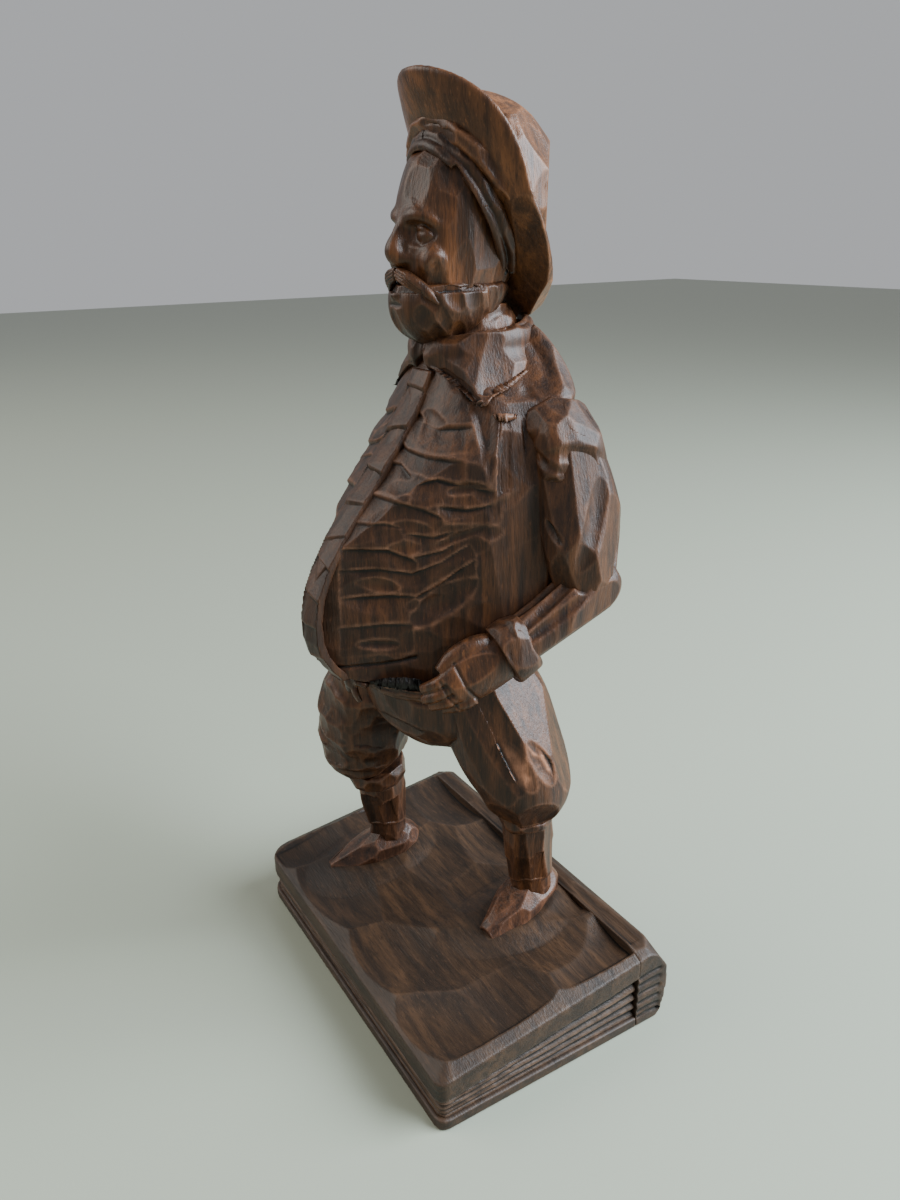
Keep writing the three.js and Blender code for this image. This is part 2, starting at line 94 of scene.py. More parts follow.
def loft(sections, sides=20, steps=4, side=(1, 0, 0), level=False):
    """A rounded bar through (centre, (half width, half depth)) sections. Half widths lie along side."""
    centres = np.array([c for c, _ in sections], float)
    sizes = np.array([r for _, r in sections], float)
    at = np.linspace(0, len(sections) - 1, (len(sections) - 1) * steps + 1)

    def through(values):
        ends = np.vstack([2 * values[0] - values[1], values, 2 * values[-1] - values[-2]])
        k = np.minimum(at.astype(int), len(values) - 2)
        t = (at - k)[:, None]
        a, b, c, d = (ends[k + i] for i in range(4))
        return b + 0.5 * t * (c - a + t * (2 * a - 5 * b + 4 * c - d + t * (3 * (b - c) + d - a)))

    path, radii = through(centres), np.maximum(through(sizes), 0.05)
    points, faces = [], []
    turn = np.linspace(0, 2 * math.pi, sides, endpoint=False)
    for i, centre in enumerate(path):
        along = (0, 0, 1) if level else unit(path[min(i + 1, len(path) - 1)] - path[max(i - 1, 0)])
        across = unit(np.array(side, float) - np.array(along) * np.dot(side, along))
        up = np.cross(along, across)
        points += [centre + across * radii[i, 0] * math.cos(t) + up * radii[i, 1] * math.sin(t) for t in turn]
    for i in range(len(path) - 1):
        for j in range(sides):
            a, b = i * sides + j, i * sides + (j + 1) % sides
            faces.append([a, b, b + sides, a + sides])
    faces.append(list(range(sides))[::-1])
    faces.append([(len(path) - 1) * sides + j for j in range(sides)])
    return np.array(points), faces


def ball(centre, radii, rows=12, sides=18):
    """An egg with its poles up and down."""
    centre, radii = np.array(centre, float), np.array(radii, float)
    points, faces = [centre - (0, 0, radii[2])], []
    for i in range(1, rows):
        slope = math.pi * i / rows - math.pi / 2
        for j in range(sides):
            turn = 2 * math.pi * j / sides
            spot = (math.cos(slope) * math.cos(turn), math.cos(slope) * math.sin(turn), math.sin(slope))
            points.append(centre + radii * spot)
    points.append(centre + (0, 0, radii[2]))
    for j in range(sides):
        after = (j + 1) % sides
        faces.append([0, 1 + after, 1 + j])
        last = 1 + (rows - 2) * sides
        faces.append([last + j, last + after, len(points) - 1])
        for i in range(rows - 2):
            a, b = 1 + i * sides + j, 1 + i * sides + after
            faces.append([a, b, b + sides, a + sides])
    return np.array(points), faces


def rounded(x_range, y_range, radii, steps=6):
    """A rectangle's outline with its own radius at each corner, anticlockwise from the front right."""
    (x0, x1), (y0, y1) = x_range, y_range
    outline = []
    corner_signs = ((x1, y0, -1, 1), (x1, y1, -1, -1), (x0, y1, 1, -1), (x0, y0, 1, 1))
    for k, ((x, y, sx, sy), radius) in enumerate(zip(corner_signs, radii)):
        for t in np.linspace(0, math.pi / 2, steps):
            turn = k * math.pi / 2 - math.pi / 2 + t
            across, back = radius * math.cos(turn), radius * math.sin(turn)
            outline.append((x + sx * radius + across, y + sy * radius + back))
    return np.array(outline)


def stack(layers):
    """A closed solid through outlines with the same number of points. Each point has its own height."""
    count = len(layers[0])
    faces = [list(range(count))[::-1], [(len(layers) - 1) * count + j for j in range(count)]]
    for i in range(len(layers) - 1):
        for j in range(count):
            a, b = i * count + j, i * count + (j + 1) % count
            faces.append([a, b, b + count, a + count])
    return np.concatenate(layers), faces


def remesh(parts, voxel):
    """Joins closed parts into one skin of small even squares."""
    points, faces = [], []
    for part_points, part_faces in parts:
        shift = sum(len(p) for p in points)
        points.append(part_points)
        faces += [[i + shift for i in face] for face in part_faces]
    mesh = bpy.data.meshes.new("work")
    mesh.from_pydata(np.concatenate(points).tolist(), [], faces)
    thing = bpy.data.objects.new("work", mesh)
    bpy.context.scene.collection.objects.link(thing)
    modifier = thing.modifiers.new("Remesh", "REMESH")
    modifier.mode = "VOXEL"
    modifier.voxel_size = voxel
    skin = thing.evaluated_get(bpy.context.evaluated_depsgraph_get()).data
    found = np.empty(len(skin.vertices) * 3, np.float32)
    skin.vertices.foreach_get("co", found)
    squares = np.array([p.vertices[:] for p in skin.polygons])
    bpy.data.objects.remove(thing)
    bpy.data.meshes.remove(mesh)
    return found.reshape(-1, 3).astype(float), squares


# ---------------------------------------------------------------- the skin that gets carved
class Skin:
    """A fine closed mesh in millimetres, with what the cuts leave on it."""

    def __init__(self, parts, voxel=0.45, coarse=None, rounds=10, polish=4, extras=()):
        """Parts are rounded off on a coarse mesh first. Extras join them afterwards and keep their shape."""
        if coarse:
            rough = Skin.of(*remesh(parts, coarse))
            rough.smooth(rounds)
            parts = [(rough.points, rough.squares.tolist())]
        self.points, self.squares = remesh(list(parts) + list(extras), voxel)
        self._link()
        self.smooth(polish)

    @classmethod
    def of(cls, points, squares):
        skin = cls.__new__(cls)
        skin.points, skin.squares = points, squares
        skin._link()
        return skin

    def _link(self):
        sides = np.concatenate([self.squares[:, [k, (k + 1) % 4]] for k in range(4)])
        self.edges = np.unique(np.sort(sides, axis=1), axis=0)
        self.count = np.bincount(self.edges.ravel(), minlength=len(self.points))[:, None]
        size = len(self.points)
        self.marks = {"edge": np.zeros(size), "tone": np.zeros(size)}

    def around(self, values):
        """The mean of each point's neighbours."""
        a, b = self.edges.T
        total = np.empty_like(values)
        for k in range(values.shape[1]):
            total[:, k] = np.bincount(a, values[b, k], len(values))
            total[:, k] += np.bincount(b, values[a, k], len(values))
        return total / self.count

    def smooth(self, rounds):
        """Rounds off the skin without shrinking it."""
        for _ in range(rounds):
            for pull in (0.5, -0.52):
                self.points += pull * (self.around(self.points) - self.points)

    def normals(self):
        a, b, c, d = (self.points[self.squares[:, k]] for k in range(4))
        across = np.cross(c - a, d - b)
        found = np.zeros_like(self.points)
        for k in range(4):
            for axis in range(3):
                found[:, axis] += np.bincount(self.squares[:, k], across[:, axis], len(found))
        return found / np.maximum(np.linalg.norm(found, axis=1), 1e-12)[:, None]

    def take_off(self, depth, owner, direction, keep, normal, worn):
        """Moves the skin in by depth. owner says which cut made it, so that borders and shades follow."""
        share = np.ones(len(depth)) if keep is None else keep(self.points, normal)
        depth = np.maximum(depth, 0) * share
        self.points -= direction * depth[:, None]
        a, b = self.edges.T
        apart = (owner[a] != owner[b]) * np.maximum(share[a], share[b])
        border = np.bincount(a, apart, len(depth)) + np.bincount(b, apart, len(depth))
        border = self.around(np.clip(border, 0, 1)[:, None])[:, 0]
        self.marks["edge"] = np.maximum(self.marks["edge"], border * worn)
        shades = rng.uniform(-1, 1, owner.max() + 2)
        self.marks["tone"] = np.where(depth > 0, shades[owner], self.marks["tone"])

    def carve(self, chart, cuts, keep=None, worn=0.3, towards=None):
        """Cuts inwards. Where two strokes meet, the deeper one wins and a sharp ridge is left between them.

        A broad flat piece is cut square to its face, which towards names, so that its edges stay clean.
        """
        u, v = chart(self.points)
        normal = self.normals()
        deepest, owner = np.zeros(len(u)), np.full(len(u), -1)
        for number, cut in enumerate(cuts):
            depth = cut(u, v)
            owner = np.where(depth > deepest, number, owner)
            deepest = np.maximum(deepest, depth)
        self.take_off(deepest, owner, normal if towards is None else unit(towards), keep, normal, worn)

    def shave(self, planes):
        """Takes off all that stands out from each plane, given as (point on it, direction it faces)."""
        for point, direction in planes:
            normal = self.normals()
            direction = unit(direction)
            rise = (self.points - point) @ direction
            depth = np.where(normal @ direction > 0.1, rise, 0)
            owner = np.where(depth > 0, 0, -1)
            self.take_off(depth, owner, direction, None, normal, 0.3)

    def whittle(
        self, spacing, depth, along=(0, 0, 1), stretch=1.8, bowl=0.012, keep=None, tilt=0.05, worn=0.25
    ):
        """Knife cuts all over: flat facets with crisp ridges between them, longer in one direction."""
        normal = self.normals()
        along = unit(along)
        squeezed = self.points - np.outer(self.points @ along, along) * (1 - 1 / stretch)
        share = np.ones(len(self.points)) if keep is None else keep(self.points, normal)
        seeds = []
        for i in rng.permutation(len(self.points))[:2500]:
            if share[i] < 0.5:
                continue
            reach = spacing * rng.uniform(0.75, 1.2)
            if not seeds or (((squeezed[seeds] - squeezed[i]) ** 2).sum(axis=1)).min() > reach**2:
                seeds.append(int(i))
        deepest, owner = np.zeros(len(normal)), np.full(len(normal), -1)
        for number, seed in enumerate(seeds):
            apart = ((squeezed - squeezed[seed]) ** 2).sum(axis=1)
            near = np.flatnonzero(apart < (1.8 * spacing) ** 2)
            close = near[apart[near] < (0.5 * spacing) ** 2]
            facing_out = unit(normal[close].mean(axis=0) + rng.normal(0, tilt, 3))
            near = near[normal[near] @ facing_out > 0.3]
            rise = (self.points[near] - self.points[seed]) @ facing_out
            cut = depth * rng.uniform(0.7, 1.3) + rise - bowl * apart[near]
            wins = cut > deepest[near]
            owner[near[wins]] = number
            deepest[near[wins]] = cut[wins]
        self.take_off(deepest, owner, normal, keep, normal, worn)


def hollows(skin):
    """How far each point lies below its surroundings: positive in a groove, negative on a ridge."""
    wide = skin.points.copy()
    for _ in range(6):
        wide = skin.around(wide)
    return ((wide - skin.points) * skin.normals()).sum(axis=1)


# ---------------------------------------------------------------- strokes
def scoop(u, v, length, width, depth, turn=0.0, bow=0.0):
    """One push of a gouge: a lens-shaped hollow centred on (u, v), turned from the chart's u direction."""
    c, s = math.cos(math.radians(turn)), math.sin(math.radians(turn))

    def cut(us, vs):
        along = c * (us - u) + s * (vs - v)
        across = -s * (us - u) + c * (vs - v)
        across = across - bow * (1 - (2 * along / length) ** 2)
        return depth * (1 - (2 * along / length) ** 2 - (2 * across / width) ** 2)

    return cut


def shelf(line, drop, depth, wall=0.7):
    """A long cut under a sharp ledge, whose (u, v) points line lists. It fades out at drop below them."""
    us0, vs0 = (np.array(k, float) for k in zip(*sorted(line)))

    def cut(us, vs):
        below = np.interp(us, us0, vs0) - vs
        inside = np.clip(np.minimum(us - us0[0], us0[-1] - us) / 4, 0, 1)
        profile = np.where(below < 0, 1 + below / wall, 1 - np.abs(below) / drop)
        return depth * profile * np.sqrt(inside) - (inside <= 0)

    return cut


def groove(line, width, depth):
    """A narrow V-shaped cut along a line of (u, v) points."""
    line = np.array(line, float)

    def cut(us, vs):
        nearest = np.full(len(us), np.inf)
        for (u0, v0), (u1, v1) in zip(line[:-1], line[1:]):
            du, dv = u1 - u0, v1 - v0
            t = np.clip(((us - u0) * du + (vs - v0) * dv) / (du * du + dv * dv), 0, 1)
            nearest = np.minimum(nearest, np.hypot(us - u0 - t * du, vs - v0 - t * dv))
        return depth * (1 - 2 * nearest / width)

    return cut


def wave(start, end, steps, sway):
    """A slightly wavering line of (u, v) points."""
    t = np.linspace(0, 1, steps + 1)
    line = [(start[0] + k * (end[0] - start[0]), start[1] + k * (end[1] - start[1])) for k in t]
    return [(u, v + rng.normal(0, sway)) for u, v in line]


# ---------------------------------------------------------------- charts
def upright(x, y, radius):
    """Wraps round an upright axis. u is 0 in front and grows to the figure's left; v is the height."""

    def chart(points):
        return np.arctan2(points[:, 0] - x, -(points[:, 1] - y)) * radius, points[:, 2]

    return chart


def limb(start, end, radius, face=(0, -1, 0)):
    """Wraps round a limb from start to end. u is 0 on the side that faces face; v runs from 0 at start."""
    start, end = np.array(start, float), np.array(end, float)
    along = unit(end - start)
    front = unit(np.array(face, float) - along * np.dot(face, along))
    side = np.cross(front, along)

    def chart(points):
        off = points - start
        return np.arctan2(off @ side, off @ front) * radius, off @ along

    return chart


def flat(origin, u_axis, v_axis):
    """Lies flat on a plane through origin."""
    origin, u_axis, v_axis = np.array(origin, float), unit(u_axis), unit(v_axis)

    def chart(points):
        return (points - origin) @ u_axis, (points - origin) @ v_axis

    return chart


def facing(direction, least=0.3):
    """Keeps cuts to the side of a piece that faces a direction."""
    direction = unit(direction)

    def keep(points, normal):
        return np.clip(((normal @ direction) - least) / 0.15, 0, 1)

    return keep


# ---------------------------------------------------------------- materials
def wood(name, dark, light, rough=(0.32, 0.5), shine=0.32, grain=2):
    """Stained, carved wood: fibres along one axis, a shade for each cut, pale ridges, dark grooves (partly
    stain pooled in the cuts, partly painted shade).
    """
    material = bpy.data.materials.new(name)
    material.use_nodes = True
    tree = material.node_tree
    shader = tree.nodes["Principled BSDF"]
    new, join = tree.nodes.new, tree.links.new

    def maths(kind, *values, clamp=False):
        node = new("ShaderNodeMath")
        node.operation = kind
        node.use_clamp = clamp
        for socket, value in zip(node.inputs, values):
            if isinstance(value, (int, float)):
                socket.default_value = value
            else:
                join(value, socket)
        return node.outputs[0]

    def attribute(which):
        node = new("ShaderNodeAttribute")
        node.attribute_name = which
        return node.outputs["Fac"]

    def noise(scale, detail, stretch=(1, 1, 1), distortion=0.0):
        place = new("ShaderNodeMapping")
        place.inputs["Scale"].default_value = stretch
        join(coordinates.outputs["Object"], place.inputs["Vector"])
        node = new("ShaderNodeTexNoise")
        node.inputs["Scale"].default_value = scale
        node.inputs["Detail"].default_value = detail
        node.inputs["Distortion"].default_value = distortion
        join(place.outputs[0], node.inputs["Vector"])
        return node.outputs["Fac"]

    def drawn_out(share):
        stretch = [1, 1, 1]
        stretch[grain] = share
        return stretch

    def ramp(value, stops):
        node = new("ShaderNodeValToRGB")
        while len(node.color_ramp.elements) < len(stops):
            node.color_ramp.elements.new(0.5)
        for element, (position, colour) in zip(node.color_ramp.elements, stops):
            element.position = position
            element.color = (*colour, 1)
        join(value, node.inputs["Fac"])
        return node.outputs["Color"]

    def mix(share, a, b):
        node = new("ShaderNodeMix")
        node.data_type = "RGBA"
        join(share, node.inputs["Factor"])
        for socket, value in ((node.inputs[6], a), (node.inputs[7], b)):
            if isinstance(value, tuple):
                socket.default_value = (*value, 1)
            else:
                join(value, socket)
        return node.outputs[2]

    coordinates = new("ShaderNodeTexCoord")
    fibres = noise(2300, 3, drawn_out(0.12), 0.2)
    streaks = noise(420, 5, drawn_out(0.1), 0.5)
    clouds = noise(60, 3, drawn_out(0.6))
    middle = tuple(0.6 * a + 0.4 * b for a, b in zip(dark, light))
    base = ramp(streaks, [(0.32, dark), (0.5, middle), (0.7, light)])

    shade = maths("MULTIPLY_ADD", attribute("tone"), 0.3, 0.3)
    shade = maths("MULTIPLY_ADD", clouds, 1.6, maths("SUBTRACT", shade, 0.8), clamp=True)
    base = mix(shade, base, tuple(0.6 * k for k in dark))
    base = mix(maths("MULTIPLY_ADD", fibres, 3.2, -1.7, clamp=True), base, tuple(0.45 * k for k in dark))
    base = mix(maths("MULTIPLY_ADD", fibres, -3.6, 1.42, clamp=True), base, tuple(1.15 * k for k in light))
    # Darkens the grooves by how deep they lie: partly stain pooled in the cuts, partly painted shade.
    base = mix(maths("MULTIPLY", attribute("hollow"), 1.8, clamp=True), base, tuple(0.2 * k for k in dark))
    worn = maths("MULTIPLY", attribute("edge"), maths("MULTIPLY_ADD", noise(300, 3), 2.2, -0.45), clamp=True)
    base = mix(worn, base, tuple(min(1, 2.2 * k + 0.035) for k in light))
    join(base, shader.inputs["Base Color"])

    join(maths("MULTIPLY_ADD", clouds, rough[1] - rough[0], rough[0]), shader.inputs["Roughness"])
    shader.inputs["Specular IOR Level"].default_value = shine
    bump = new("ShaderNodeBump")
    bump.inputs["Strength"].default_value = 0.6
    bump.inputs["Distance"].default_value = 0.00025
    height = maths("MULTIPLY_ADD", fibres, 0.7, maths("MULTIPLY", streaks, 0.8))
    join(height, bump.inputs["Height"])
    join(bump.outputs["Normal"], shader.inputs["Normal"])
    return material


# The stains: two dark ones, which fill the pores, and the lighter ones over them.
UMBER = (0.017, 0.0068, 0.0032)
BROWN = (0.015, 0.0085, 0.0048)
CHESTNUT = (0.09, 0.033, 0.011)
RUSSET = (0.13, 0.046, 0.015)
looks = {
    "book_wood": wood("book_wood", BROWN, (0.062, 0.031, 0.0145), rough=(0.4, 0.58), grain=0),
    "jacket_wood": wood("jacket_wood", UMBER, CHESTNUT, rough=(0.38, 0.56)),
    "belt_wood": wood("belt_wood", UMBER, CHESTNUT),
    "breeches_wood": wood("breeches_wood", UMBER, (0.105, 0.038, 0.013)),
    "shoe_wood": wood("shoe_wood", UMBER, (0.11, 0.042, 0.018)),
    "skin_wood": wood("skin_wood", (0.024, 0.0105, 0.005), RUSSET, rough=(0.3, 0.46)),
    "hair_wood": wood("hair_wood", UMBER, CHESTNUT),
    "hat_wood": wood("hat_wood", (0.042, 0.017, 0.0075), (0.2, 0.076, 0.027), rough=(0.3, 0.46)),
    "dowel_wood": wood("dowel_wood", (0.25, 0.16, 0.09), (0.42, 0.29, 0.17), rough=(0.6, 0.8), shine=0.3),
}


# ---------------------------------------------------------------- finishing a piece
def piece(node, skin, slot, side=1):
    """Turns a skin into a Blender object that stands for a CAD node."""
    name = "carved_" + node
    depth = hollows(skin)
    marks = {
        "tone": skin.marks["tone"],
        # hollow: how deep each point lies in a groove; it darkens the wood there, partly as stain pooled in
        # the cuts, partly as painted shade.
        "hollow": np.clip(depth * 3.2 - 0.15, 0, 1),
        "edge": skin.marks["edge"] * np.clip(0.25 - depth * 9, 0, 1) + 0.35 * np.clip(-depth * 3 - 0.4, 0, 1),
    }
    mesh = bpy.data.meshes.new(name)
    squares = skin.squares[:, ::side]
    mesh.from_pydata((flipped(skin.points, side) * MM).tolist(), [], squares.tolist())
    mesh.polygons.foreach_set("use_smooth", [True] * len(mesh.polygons))
    for mark, values in marks.items():
        made = mesh.attributes.new(mark, "FLOAT", "POINT")
        made.data.foreach_set("value", values.astype(np.float32))
    thing = bpy.data.objects.new(name, mesh)
    bpy.context.scene.collection.objects.link(thing)
    mesh.materials.append(looks[slot])
    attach(thing, "root")
    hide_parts(node)


def knife(skin, spot, direction, depth, reach=12.0):
    """One big flat facet: takes depth off the furthest point near spot, in that direction."""
    direction, spot = unit(direction), np.array(spot, float)
    near = skin.points[((skin.points - spot) ** 2).sum(axis=1) < reach**2]
    top = (near @ direction).max()
    skin.shave([(spot + direction * (top - depth - spot @ direction), direction)])


# ---------------------------------------------------------------- the forms under the carving
# Each form lists (centre, (half width, half depth)) for loft, in millimetres. The arm is the left one.
ARM = {
    "cap": [((19.5, 16.5, 169), (7.5, 5.5)), ((24, 20, 170.3), (9, 7.5)), ((28, 21, 166), (10, 7.5)),
            ((29.5, 21.5, 158), (9.3, 6.5))],
    "upper": [((27, 19.5, 169), (5, 7)), ((28.6, 21, 160), (8, 10.2)), ((31.5, 23, 146), (8.6, 11.5)),
              ((33, 23.8, 135), (8.2, 10.6)), ((33.5, 24, 126), (6.3, 7.3))],
    "lower": [((33.6, 31.5, 132.6), (4.5, 4.5)), ((33.5, 28, 130.8), (6.8, 6.8)),
              ((33.2, 21, 126.8), (7.6, 7.8)),
              ((32, 13, 121.5), (7, 7.6)), ((30.4, 3.5, 116), (6.4, 7.2))],
    "cuff": [((31.2, 7.4, 118), (6.8, 7.6)), ((30.8, 5.2, 117), (7.7, 8.7)), ((30.2, 2.4, 115.5), (8, 9)),
             ((29.6, -0.2, 114.2), (7.5, 8.5))],
    "palm": [((29.9, 2, 115), (5, 6.2)), ((29.2, -1.6, 113.3), (5.2, 6.8)),
             ((27.6, -7.5, 110.3), (5, 7.2)), ((25.6, -12.6, 107), (4.4, 6.6))],
    "thumb": [((28.4, -1.5, 118), (2.3, 2.6)), ((27.4, -6.5, 118.2), (2.6, 2.6)),
              ((25.8, -12, 115.8), (2.3, 2.3)), ((24.9, -15.5, 112.2), (1.7, 1.7))],
}
SHOES = {
    "right": [((-28.2, 4.2, 22.8), (3.4, 3.6)), ((-28.8, 1, 24.4), (5.8, 6.2)),
              ((-29.8, -5, 24.6), (6.8, 7.2)),
              ((-31.5, -12, 21.8), (6.8, 5.6)), ((-33.2, -19.5, 19.6), (5.6, 4)),
              ((-34.2, -24.5, 18.9), (3, 2.4))],
    "left": [((18.2, 27, 25.6), (3.4, 3.8)), ((18.7, 23.5, 27.2), (5.8, 6.4)), ((19.2, 18.5, 28), (7.2, 7.8)),
             ((21, 11, 25), (7.2, 6.4)), ((22.8, 4, 22.6), (6.4, 4.8)), ((24, -1, 21.4), (3.4, 2.6))],
}
STOCKINGS = {
    "right": [((-30, -4.5, 23), (5.8, 6.8)), ((-30, -4.5, 31), (5.8, 6.4)),
              ((-29.5, -5.5, 41), (7.2, 7.8)), ((-29, -7.8, 53), (7.6, 8))],
    "left": [((19.5, 18, 25), (6, 7)), ((19.8, 17.8, 32), (6.2, 6.8)), ((20.8, 16.4, 44), (7.6, 7.8)),
             ((22, 14.2, 58), (7.3, 7.5))],
}
BREECHES = {
    "right": [((-27.8, -9.5, 57.4), (8, 8.6)), ((-28, -10.5, 61), (12.4, 12.8)),
              ((-28, -12, 69), (14.8, 15.2)),
              ((-26, -12, 80), (14.6, 15.2)), ((-21, -9.5, 92), (13.5, 14.5)),
              ((-17, -7, 101), (11.5, 12.5))],
    "left": [((23, 12.9, 62), (8, 8.4)), ((24.2, 12.2, 66), (11.6, 12.2)), ((23.6, 11.7, 72.5), (13.4, 14)),
             ((19.4, 9.4, 82), (14.8, 15.4)), ((15, 7.2, 92), (15.8, 16)), ((11.5, 5, 101), (14, 14.5))],
}
HEAD = [((MIDDLE, 3.5, 191), (6, 6.5)), ((MIDDLE, 5.5, 196), (10, 11.5)), ((MIDDLE, 8, 203), (12.6, 14.8)),
        ((MIDDLE, 9.5, 212), (13.4, 16.4)), ((MIDDLE, 10.5, 222), (13.6, 16.8)),
        ((MIDDLE, 12, 231), (12.2, 15)),
        ((MIDDLE, 14, 237), (8, 10))]
BEARD = [((MIDDLE, 4, 188.6), (5, 5.8)), ((MIDDLE, 4.2, 191.5), (9.4, 10.8)),
         ((MIDDLE, 5, 195.5), (12.4, 14)),
         ((MIDDLE, 6.5, 200.5), (14, 15.8)), ((MIDDLE, 7.6, 204), (13.6, 15.6))]


# ---------------------------------------------------------------- the jacket
GIRTH = 28.0  # turns degrees round the belly into millimetres
LEDGES = [  # the (degrees round, height) points of each, then its drop and depth, from the neck down
    ([(12, 173), (27, 173.4), (48, 171)], 6.0, 0.6),
    ([(40, 170.5), (61, 169.5), (84, 170.6)], 5.5, 0.8),
    ([(13, 166.4), (32, 164.6), (52, 163.2), (76, 163)], 6.0, 0.75),
    ([(13, 160), (29, 160.2), (46, 158)], 6.5, 0.7),
    ([(42, 157), (60, 158.6), (90, 156.6)], 6.0, 0.9),
    ([(12, 153), (32, 153), (50, 150.4), (64, 149)], 6.5, 0.7),
    ([(60, 151.4), (76, 150.6), (92, 152.4)], 5.0, 0.8),
    ([(11, 146.4), (28, 147.4), (44, 146)], 6.0, 0.6),
    ([(38, 144.6), (57, 143.8), (72, 146)], 6.0, 0.8),
    ([(10, 141), (30, 140.4), (48, 137.2)], 6.5, 0.75),
    ([(44, 138.6), (62, 140), (86, 147)], 6.0, 0.8),
    ([(9, 134.8), (25, 134.8), (43, 133.6), (60, 137), (80, 143.6)], 7.5, 0.85),
    ([(9, 127), (30, 127.8), (47, 128)], 8.5, 0.7),
    ([(42, 126.8), (60, 131), (80, 138)], 8.0, 0.8),
    ([(8, 118.8), (26, 120), (43, 120.6)], 8.0, 0.6),
]


def round_belly(degrees):
    return math.radians(degrees) * GIRTH


def carve_jacket():
    gusset = [((19, 16.5, 172), (6, 5.5)), ((22, 15.5, 160), (6.5, 7.5)), ((24.5, 12.5, 145), (6.5, 9)),
              ((25, 9, 130), (6, 10)), ((22, 6.5, 116), (6, 10)), ((18, 5.5, 108), (5, 8))]
    blade = [((14, 14, 176), (8, 8.5)), ((16, 14.5, 160), (9, 9.5)), ((17, 12, 145), (9.5, 9.8)),
             ((17.5, 9, 130), (9.5, 9.6)), ((16, 6.5, 114), (9, 9))]
    lapel = [((20.4, 7.5, 173.5), (2.6, 4.2)), ((23.0, 6.2, 165), (2.8, 5.0)), ((24.3, 5.6, 157), (2.6, 5.4)),
             ((24.3, 6.2, 154.6), (1.6, 4.4))]
    yoke = [((-2, 21.5, 189.5), (7, 5)), ((6, 22.5, 186), (8, 6)), ((14, 23, 178.5), (8, 7)),
            ((22, 21.5, 169), (7, 7))]
    sides = []
    lapels = []
    for side in (1, -1):
        for form in (gusset, blade, yoke):
            points, faces = loft(form)
            sides.append((flipped(points, side), faces))
        points, faces = loft(lapel, 10)
        lapels.append((flipped(points, side), faces))
    skin = Skin([cad_solid("jacket"), cad_solid("jacket_placket", swell=0)] + sides, voxel=0.46,
                coarse=1.5, rounds=10, extras=lapels)
    chart = upright(MIDDLE, 2, GIRTH)

    def flanks(points, normal):
        return np.clip((np.abs(chart(points)[0]) - round_belly(84)) / 2, 0, 1)

    skin.whittle(9, 1.0, stretch=2.2, keep=flanks)
    for side in (1, -1):
        edges = ((25, 4, 163, 0.78, -0.62, 0.1, 1.3), (27, 9, 160, 0.93, -0.35, 0.05, 1.2),
                 (26, -2, 150, 0.8, -0.6, 0.0, 0.9))
        for x, y, z, across, ahead, up, depth in edges:
            spot = flipped((x, y, z), side)
            knife(skin, spot, (side * across, ahead, up), depth, reach=9)
    dents = skin.around(np.clip(hollows(skin), 0, 1)[:, None])[:, 0]

    def open_ground(points, normal):
        return np.clip(1 - dents * 12, 0, 1)

    def front(points, normal):
        return 1 - flanks(points, normal)

    skin.whittle(8, 0.25, stretch=0.6, keep=front, worn=0.1)
    cuts = []
    for line, drop, depth in LEDGES:
        for side in (1, -1):
            ledge = [(side * round_belly(d), z + rng.normal(0, 0.35 if side > 0 else 0.9)) for d, z in line]
            cuts.append(shelf(ledge, drop, depth * rng.uniform(1.15, 1.5), wall=0.7))
    for side in (1, -1):
        for _ in range(7):
            degrees, z = rng.uniform(18, 80), rng.uniform(120, 172)
            slope = side * (0.45 * (degrees - 40) * (z < 145) + rng.normal(0, 9))
            length, deep = rng.uniform(14, 24), rng.uniform(0.6, 0.9)
            cuts.append(scoop(side * round_belly(degrees), z, length, 6, deep, turn=slope))
        cuts += [
            scoop(side * round_belly(60), 127.5, 24, 10, 1.4, turn=side * 33),
            scoop(side * round_belly(74), 156.2, 13, 4.4, 1.3, turn=side * 4),
            scoop(side * round_belly(70), 144, 19, 4.2, 1.3, turn=side * 20),
            scoop(side * round_belly(24), 114.6, 12, 3.4, 1.0, turn=side * 2),
        ]
    skin.carve(chart, cuts, keep=open_ground, worn=0.6)
    seams = []
    for side in (1, -1):
        hem = [(6, 107.5), (24, 108.6), (44, 111)]
        seams.append(groove([(side * round_belly(d), z) for d, z in hem], 1.6, 0.7))
    skin.carve(chart, seams, keep=open_ground, worn=0)
    piece("jacket", skin, "jacket_wood")


def carve_placket():
    """The strip down the front, cut in uneven steps where each fold of the jacket meets it."""
    skin = Skin([cad_solid("jacket_placket", swell=0.9)], voxel=0.38, polish=7)
    low, high = corners("jacket_placket")
    chart = flat((MIDDLE + 1.6, 0, 0), (1, 0, 0), (0, 0, 1))
    steps = []
    z = low[2] + 6
    while z < high[2] - 3:
        tilt = rng.uniform(-1.8, 1.8)
        drop, depth = rng.uniform(7, 11), rng.uniform(0.8, 1.4)
        steps.append(shelf([(-6, z - tilt), (0, z), (6, z + tilt)], drop, depth, wall=1.0))
        z += rng.uniform(6, 10)
    skin.carve(chart, steps, keep=facing((0, -1, 0.1)), towards=(0, -0.8, 0.3), worn=0.25)
    piece("jacket_placket", skin, "jacket_wood")


def carve_collar(name, side):
    node = "collar_" + name
    stand = []
    for degrees in np.linspace(8, 168, 12):
        turn = math.radians(degrees)
        place = (MIDDLE + 14.6 * math.sin(turn), 13.2 - 14.4 * math.cos(turn), 186 + 5.5 * degrees / 168)
        stand.append((place, (4.2, 2.2)))
    forms = [cad_solid(node, side, swell=0.7), loft(stand, 14, steps=3, side=(0, 0, 1))]
    skin = Skin(forms, voxel=0.36, coarse=0.7, rounds=4, polish=6)
    chart = upright(MIDDLE, 12, 17)
    knife(skin, (6, -6, 181), (0.3, -0.93, 0.1), 0.9, reach=10)
    skin.whittle(8, 0.5, stretch=0.8, keep=facing((0.75, -0.3, 0.5), 0.1), worn=0.2)
    piece(node, skin, "jacket_wood", side)


